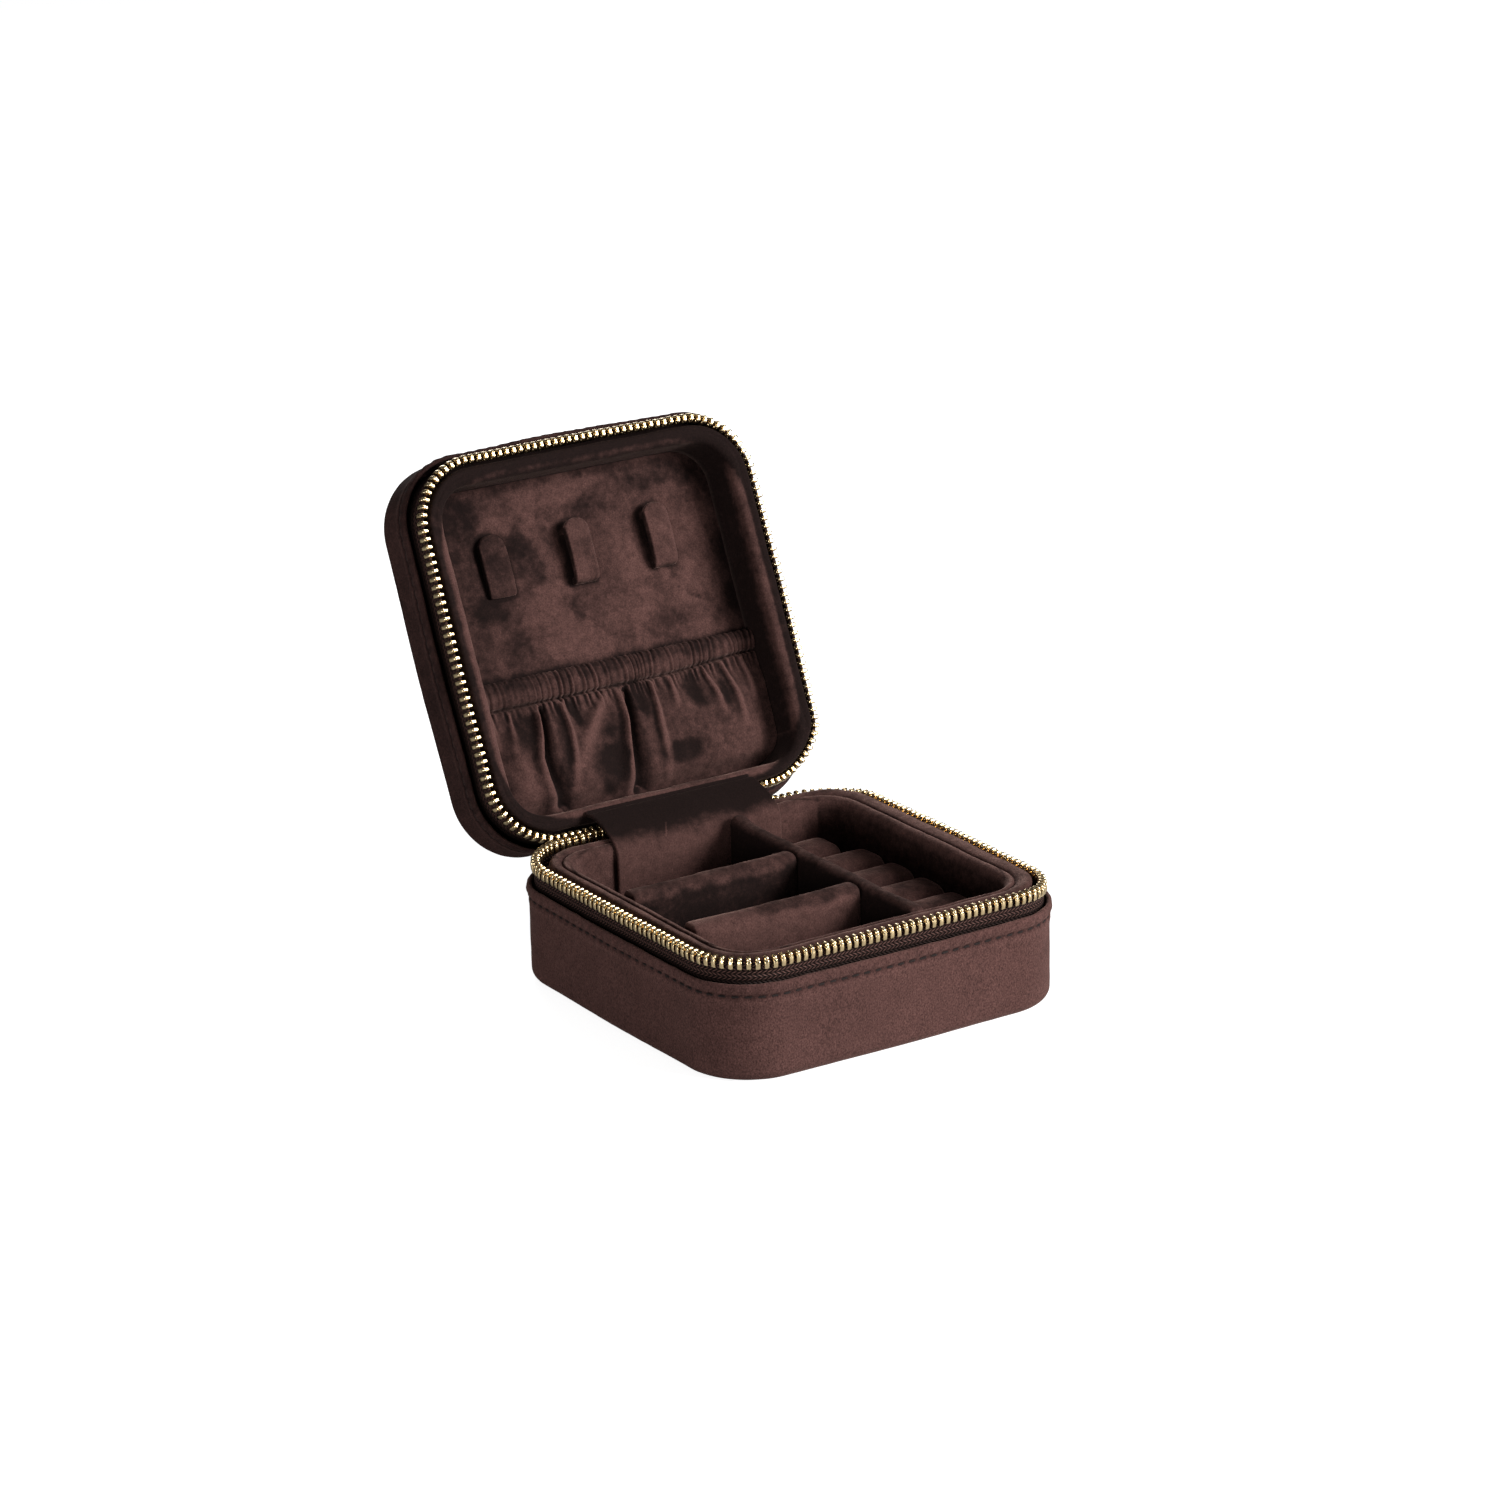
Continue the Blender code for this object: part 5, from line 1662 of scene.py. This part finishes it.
def start_cloth(ob, kind):
    """A remeshed, enlarged copy of ob set up as cloth, and its points at rest."""
    mesh = ob.data.copy()
    set_points(mesh, mesh_points(mesh, "lc") * GROW)
    mesh.update()
    tmp = bpy.data.objects.new("cloth_" + ob.name, mesh)
    scene.collection.objects.link(tmp)
    remesh = tmp.modifiers.new("remesh", "REMESH")
    remesh.mode = "VOXEL"
    remesh.voxel_size = VOXEL[kind] * GROW
    remesh.use_smooth_shade = True
    solid = evaluated_mesh(tmp)
    tmp.modifiers.clear()
    tmp.data = solid
    bpy.data.meshes.remove(mesh)
    rest = mesh_points(solid)
    weights = pin_weights(kind, rest / GROW)
    group = tmp.vertex_groups.new(name="pin")
    for i in np.where(weights > 0.01)[0]:
        group.add([int(i)], float(weights[i]), "REPLACE")
    cloth = tmp.modifiers.new("cloth", "CLOTH")
    for key, value in CLOTH.items():
        setattr(cloth.settings, key, value)
    cloth.settings.effector_weights.gravity = 0.0
    cloth.collision_settings.use_collision = False
    cloth.collision_settings.use_self_collision = False
    cloth.point_cache.frame_start, cloth.point_cache.frame_end = 1, FRAMES
    return tmp, rest


def take_cloth(ob, kind, body, nap, tmp, rest, depsgraph):
    """Give ob the inflated shape of its cloth copy, and delete the copy."""
    solid = tmp.data
    motion = (mesh_points(tmp.evaluated_get(depsgraph).to_mesh()) - rest) / GROW
    tmp.evaluated_get(depsgraph).to_mesh_clear()
    motion = np.nan_to_num(motion)
    size = np.linalg.norm(motion, axis=1)
    # soft cap: small motion kept, large motion tends to the cap
    cap = CAP[kind]
    motion *= (cap * np.tanh(size / cap) / np.maximum(size, 1e-9))[:, None]
    tmp.modifiers.clear()
    set_points(solid, rest + motion * GROW)
    solid.update()
    tmp.modifiers.new("sub", "SUBSURF").levels = 1
    fine = evaluated_mesh(tmp)
    pts = mesh_points(fine) / GROW
    if kind == "panel":
        on_face = pts[:, 2] < (pts[:, 2].min() + pts[:, 2].max()) / 2
        pts[:, 2] -= np.where(on_face, panel_creases(pts), 0)
    for name in ("lc", "nap", "sz"):
        if fine.attributes.get(name):
            fine.attributes.remove(fine.attributes[name])
    reshape_mesh(fine, pts, body, nap)
    fine.shade_smooth()
    fine.name = ob.data.name
    fine.materials.clear()
    fine.materials.append(ob.data.materials[0])
    ob.data = fine
    bpy.data.objects.remove(tmp)
    bpy.data.meshes.remove(solid)


def inflate():
    cloths = [start_cloth(ob, kind) for ob, kind, _, _ in SOFT]
    for k in range(1, FRAMES + 1):
        scene.frame_set(k)
    depsgraph = bpy.context.evaluated_depsgraph_get()
    for piece, cloth in zip(SOFT, cloths):
        take_cloth(*piece, *cloth, depsgraph)
    scene.frame_set(1)


def seat_studs(ob):
    """The rivets of the press studs hold the panel's face in: a dimple where a
    stud is sunk, a shallow seat under the others."""
    mesh = ob.data
    pts = mesh_points(mesh, "lc")
    mid = (pts[:, 2].min() + pts[:, 2].max()) / 2
    near = np.zeros(len(pts), bool)
    for x, y, _, _ in SEATS:
        near |= (np.hypot(pts[:, 0] - x, pts[:, 1] - y) < 4.0) & (pts[:, 2] < mid)
    bm = bmesh.new()
    bm.from_mesh(mesh)
    edges = [e for e in bm.edges if near[e.verts[0].index] and near[e.verts[1].index]]
    bmesh.ops.subdivide_edges(bm, edges=edges, cuts=3, use_grid_fill=True)
    bm.to_mesh(mesh)
    bm.free()
    pts = turned(mesh_points(mesh) * 1000, -OPEN)
    on_face = pts[:, 2] < mid
    for x, y, z, sunk in SEATS:
        dist = np.hypot(pts[:, 0] - x, pts[:, 1] - y)
        pull = 1 - (ramp(2.35, 3.15, dist) if sunk else ramp(1.9, 3.6, dist))
        pts[:, 2] += np.where(on_face, pull * (z - pts[:, 2]), 0)
    reshape_mesh(mesh, pts, "lid", panel_nap_and_shade)
    mesh.shade_smooth()


inflate()
seat_studs(panel)


# --- Fabric across the hinge: inner flap and outer spine, each one sheet ---
def hinge_sheet(name, path, low_x, high_x, thick, mat, nodes, seed, end,
                n_len=150, n_x=90, nap=None):
    """A strip with thickness along a YZ path from the base to the lid, shaped round
    the open hinge. end is not used."""
    wave, edge_round = 0.12, 0.6
    line, arc, normals = smooth_line(path, n_len, passes=30)
    x = np.linspace(low_x, high_x, n_x)
    full = round_off(np.minimum(x - low_x, high_x - x) / edge_round)
    verts, finish_pts = [], []
    for side in (1, -1):
        for i in range(n_len):
            flat = np.column_stack([x, np.full(n_x, arc[i]), np.zeros(n_x)])
            uneven = wave * fbm(flat, 10, seed, 2) + 0.25 * wave * noise(flat, 2.5, seed + 3)
            off = side * thick / 2 * (0.15 + 0.85 * full) + uneven
            verts.append(np.column_stack([x, line[i, 0] + normals[i, 0] * off,
                                          line[i, 1] + normals[i, 1] * off]))
            finish_pts.append(flat[:, [0, 2, 1]])
    ob = build(name, np.vstack(verts), slab_faces(n_len, n_x), mat, None, placed=True,
               nap=nap, finish_pts=np.vstack(finish_pts))
    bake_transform(ob)
    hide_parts(*nodes)


def flap_nap_and_highlight(pts):
    """Lighter on the upright part, darker where it bends over the rim, with a painted
    highlight along its left edge. Here z runs along the flap."""
    x, _, z = pts.T
    nap = 0.18 - 1.06 * ramp(20.0, 27.5, z + 1.4 * noise(pts, 5.0, 361)) \
        + 0.08 * noise(pts, 4, 363)
    # painted highlight along the left edge
    nap += 0.35 * bell(x, -23.75, 0.35) * ramp(20, 23, z)
    scratch = np.abs((x + 8.6) - 0.55 * (z - 24.5)) < 0.22
    return nap + 0.5 * scratch * (np.abs(z - 24.5) < 2.0)


low, high = node_box("flap_base")
flap_y = (low[1] + high[1]) / 2
FLAP_PATH = [(flap_y, 5.9), (flap_y, 14), (flap_y, 22), (flap_y + 0.05, 26.5),
             (flap_y + 0.5, 28.6), (41.0, 29.75), (42.6, 30.75), (44.6, 31.75), (47.2, 32.6),
             (49.6, 33.15), (51.2, 33.55), lid_point(44.6, 31.85), lid_point(43.8, 31.95),
             lid_point(43.2, 32.05)]
hinge_sheet("hinge_flap", FLAP_PATH, low[0], high[0], 0.9, FLAP_VELVET,
            ("flap_base", "flap_lid"), 171, (0, 52.5, 33.6),
            n_len=190, n_x=150, nap=flap_nap_and_highlight)

low, high = node_box("spine_base")
spine_y = (low[1] + high[1]) / 2
SPINE_PATH = [(spine_y - 0.1, 13.0), (spine_y, 18), (spine_y + 0.05, 22.0),
              (spine_y + 0.25, 24.0), (spine_y + 0.9, 25.6), (spine_y + 2.0, 26.2),
              lid_point(spine_y + 1.0, 36.0), lid_point(spine_y + 0.25, 37.6),
              lid_point(spine_y, 40.0), lid_point(spine_y - 0.1, 48.0)]
hinge_sheet("hinge_spine", SPINE_PATH, low[0], high[0], 0.7, SKIN_VELVET,
            ("spine_base", "spine_lid"), 181,
            (0, lid_point(spine_y + 0.2, 37.6)[0], 24.35))

# --- Slider, pull tab and stops ---
PLATE_LOW_Y, PLATE_HIGH_Y, PLATE_THICK = 46.7, 49.7, 0.75
BAIL_Z, BAIL_HALF, BAIL_R = 30.75, 1.65, 0.40


def rod(points, radius, seg=14):
    """Round bar along a list of points, with closed ends."""
    points = np.array(points, float)
    run = np.gradient(points, axis=0)
    run /= np.linalg.norm(run, axis=1)[:, None]
    verts = []
    for point, along in zip(points, run):
        side = np.cross(along, np.array([1.0, 0, 0]))
        side /= np.linalg.norm(side)
        other = np.cross(along, side)
        for k in range(seg):
            angle = 2 * math.pi * k / seg
            verts.append(point + radius * (side * math.cos(angle) + other * math.sin(angle)))
    return np.array(verts), tube_faces(len(points), seg)


def slider_plate(low_x, high_x, low_y, low_z, high_z):
    """Shield-shaped plate: two mouths and a rounded tail."""
    mid, half = (low_z + high_z) / 2, (high_z - low_z) / 2
    # upper edge: x, share of the half height
    edge = [(low_x, 0.62), (low_x + 0.5, 0.80), (low_x + 1.6, 0.90), (low_x + 3.6, 0.97),
            (high_x - 1.6, 1.0), (high_x - 0.5, 0.93), (high_x - 0.05, 0.66), (high_x, 0.40),
            (high_x - 0.15, 0.0)]
    outline = [(x, mid + half * share) for x, share in edge]
    outline += [(x, mid - half * share) for x, share in edge[-2::-1]]
    bm = bmesh.new()
    face = bm.faces.new([bm.verts.new((x, low_y, z)) for x, z in outline])
    return thicken(bm, [face], (0, PLATE_THICK, 0), min_angle=0.9, offset=0.2, segments=3)


def zip_slider():
    (low_x, _, low_z), (high_x, _, high_z) = SLIDER_LOW, SLIDER_HIGH
    mid_x = (low_x + high_x) / 2
    foot_y = PLATE_HIGH_Y - 0.3
    arch = [(mid_x, foot_y, BAIL_Z - BAIL_HALF)]
    arch += [(mid_x, PLATE_HIGH_Y + 0.6 + 1.1 * math.sin(a), BAIL_Z - BAIL_HALF * math.cos(a))
             for a in np.linspace(0.15, math.pi - 0.15, 13)]
    arch.append((mid_x, foot_y, BAIL_Z + BAIL_HALF))
    wedge = rounded_block((high_x - 2.3, PLATE_LOW_Y + 0.3, BAIL_Z - 0.75),
                          (high_x - 0.5, foot_y, BAIL_Z + 0.75), 0.3, 3)
    parts = [slider_plate(low_x, high_x, PLATE_LOW_Y, low_z, high_z),
             slider_plate(low_x, high_x, PLATE_HIGH_Y - PLATE_THICK, low_z, high_z),
             wedge, rod(arch, BAIL_R)]
    for z in (low_z + 0.28, high_z - 0.28):          # rails along the plates' edges
        for y in (PLATE_LOW_Y + 0.95, PLATE_HIGH_Y - 0.95):
            parts.append(rounded_block((low_x + 0.6, y - 0.45, z - 0.26),
                                       (high_x - 2.6, y + 0.45, z + 0.26), 0.15, 2))
    build("zip_slider_body", *join_parts(parts), GOLD, "slider", smooth=35,
          replaces=("zip_slider",))


def pull_tab():
    """Flat tab with an eye at the top, widening to its grip, hanging from the
    slider's bail."""
    half_thick, grip, tail = 0.4, 2.5, 2.2
    axis = np.array(JOINTS["pull_swing"]["pos_m"]) * 1000
    pts = np.array([v.co for v in frame["nodes"]["zip_pull"].data.vertices]) * 1000
    down = pts.mean(0) - axis
    down[0] = 0
    down /= np.linalg.norm(down)
    length = float(np.max((pts - axis) @ down))
    right = np.array([1.0, 0, 0])
    normal = np.cross(down, right)
    # outlines in (x, distance down from the axis)
    outer = []
    for k in range(9):
        angle = math.pi * (1 - k / 8)
        outer.append((1.9 * math.cos(angle), 1.1 - 1.55 * math.sin(angle)))
    side = [(1.95, 3.0), (1.6, 4.6), (1.75, 6.0), (2.35, 8.0), (grip, 10.0),
            (grip, length - tail)]
    outer += side
    for k in range(1, 8):
        angle = math.pi * k / 8
        outer.append((grip * math.cos(angle), length - tail + tail * math.sin(angle)))
    outer += [(-x, drop) for x, drop in side[::-1]]
    eye = [(0.95 * math.cos(2 * math.pi * k / 20), 1.75 + 1.32 * math.sin(2 * math.pi * k / 20))
           for k in range(20)]
    bm = bmesh.new()
    edges = []
    rings = [[bm.verts.new(Vector(axis + right * x + down * drop + normal * half_thick))
              for x, drop in outline] for outline in (outer, eye)]
    for ring in rings:
        edges += [bm.edges.new((ring[k], ring[(k + 1) % len(ring)])) for k in range(len(ring))]
    fill = bmesh.ops.triangle_fill(bm, use_beauty=True, use_dissolve=False, edges=edges)
    flat_faces = [f for f in fill["geom"] if isinstance(f, bmesh.types.BMFace)]
    verts, faces = thicken(bm, flat_faces, Vector(-normal * 2 * half_thick), min_angle=1.0,
                           offset=0.16, segments=2)
    build("zip_pull_tab", verts, faces, GOLD, "pull", smooth=35, placed=True,
          replaces=("zip_pull",))


def zip_stop(side):
    """Rounded block with a slight waist at half height."""
    node = "zip_stop_" + side
    low, high = node_box(node, OPEN / 2)
    verts, faces = rounded_block(low, high, 0.42, 4)
    _, mid_y, mid_z = (low + high) / 2
    pinch = 1 - 0.18 * bell(verts[:, 2], mid_z, 0.7)
    verts[:, 1] = mid_y + (verts[:, 1] - mid_y) * pinch
    build(node + "_metal", verts, faces, GOLD, "zip_ends", smooth=40, replaces=(node,))


zip_slider()
pull_tab()
zip_stop("left")
zip_stop("right")

# --- Hidden boards keep their CAD shape ---
for name in ("base_bottom_board", "base_wall_board", "lid_top_board", "lid_wall_board",
             "ring_bed"):
    materials = frame["nodes"][name].data.materials
    materials.clear()
    materials.append(BOARD)


# --- Stage: pale floor, soft studio light, camera (metres from here on) ---
def pale_floor():
    half = 6.0
    mesh = bpy.data.meshes.new("floor")
    mesh.from_pydata([(-half, -half, 0), (half, -half, 0), (half, half, 0), (-half, half, 0)],
                     [], [(0, 1, 2, 3)])
    floor = bpy.data.objects.new("floor", mesh)
    scene.collection.objects.link(floor)
    m = Shader("pale_floor")
    paper = m.noise(m.object_points(), 900, detail=2.0, rough=0.6)
    # the floor glows, but only as the camera sees it
    seen = m.node("ShaderNodeLightPath", {}).outputs["Is Camera Ray"]
    m.surface({"Roughness": 0.7,
               "Specular IOR Level": 0.1,
               "Base Color": m.mix(paper, (0.46, 0.46, 0.46), (0.54, 0.54, 0.54)),
               "Emission Color": (1, 1, 1),
               "Emission Strength": m.math("MULTIPLY", seen, 0.90)})
    mesh.materials.append(m.mat)


def studio_world():
    """A dim world for lighting and a bright one behind the camera's view."""
    light_strength, seen_strength = 0.07, 1.05
    world = bpy.data.worlds.new("studio")
    scene.world = world
    world.use_nodes = True
    nodes, links = world.node_tree.nodes, world.node_tree.links
    light = nodes["Background"]
    light.inputs["Color"].default_value = (1, 1, 1, 1)
    light.inputs["Strength"].default_value = light_strength
    seen = nodes.new("ShaderNodeBackground")
    seen.inputs["Strength"].default_value = seen_strength
    path = nodes.new("ShaderNodeLightPath")
    mix = nodes.new("ShaderNodeMixShader")
    links.new(path.outputs["Is Camera Ray"], mix.inputs[0])
    links.new(light.outputs[0], mix.inputs[1])
    links.new(seen.outputs[0], mix.inputs[2])
    links.new(mix.outputs[0], nodes["World Output"].inputs["Surface"])


def area_light(name, location, target, size, power):
    light = bpy.data.lights.new(name, "AREA")
    light.shape = "RECTANGLE"
    light.size, light.size_y = size
    light.energy = power
    ob = bpy.data.objects.new(name, light)
    scene.collection.objects.link(ob)
    ob.location = location
    aim = Vector(target) - Vector(location)
    ob.rotation_euler = aim.to_track_quat("-Z", "Y").to_euler()


def add_camera():
    """Camera to the front left of the case and above it, aimed at target."""
    turn, height, roll = math.radians(-32.91), math.radians(18.84), math.radians(-1.20)
    target = Vector((10.22, 30.95, 49.05)) * 0.001
    distance = 1.25432
    data = bpy.data.cameras.new("camera")
    data.sensor_width = 36.0
    data.lens = 123.02592
    data.clip_start, data.clip_end = 0.01, 50
    camera = bpy.data.objects.new("camera", data)
    scene.collection.objects.link(camera)
    back = Vector((math.sin(turn) * math.cos(height), -math.cos(turn) * math.cos(height),
                   math.sin(height)))
    right = (-back).cross(Vector((0, 0, 1))).normalized()
    up = right.cross(-back)
    rolled_right = right * math.cos(roll) + up * math.sin(roll)
    rolled_up = -right * math.sin(roll) + up * math.cos(roll)
    matrix = Matrix((rolled_right, rolled_up, back)).transposed().to_4x4()
    matrix.translation = target + back * distance
    camera.matrix_world = matrix
    scene.camera = camera


pale_floor()
studio_world()
area_light("key_softbox", location=(0.72, -0.85, 0.52), target=(0, 0, 0.04),
           size=(0.55, 0.55), power=26)
area_light("top_softbox", location=(0.1, -0.2, 1.2), target=(0, 0.02, 0.0),
           size=(1.0, 1.0), power=2.0)
area_light("left_fill", location=(-1.0, -0.55, 0.16), target=(-0.02, 0, 0.01),
           size=(0.5, 0.3), power=6.0)
area_light("back_fill", location=(0.45, 1.05, 0.30), target=(0.0, 0.09, 0.05),
           size=(0.5, 0.4), power=3.0)
add_camera()
scene.view_settings.view_transform = "Standard"
scene.view_settings.look = "None"
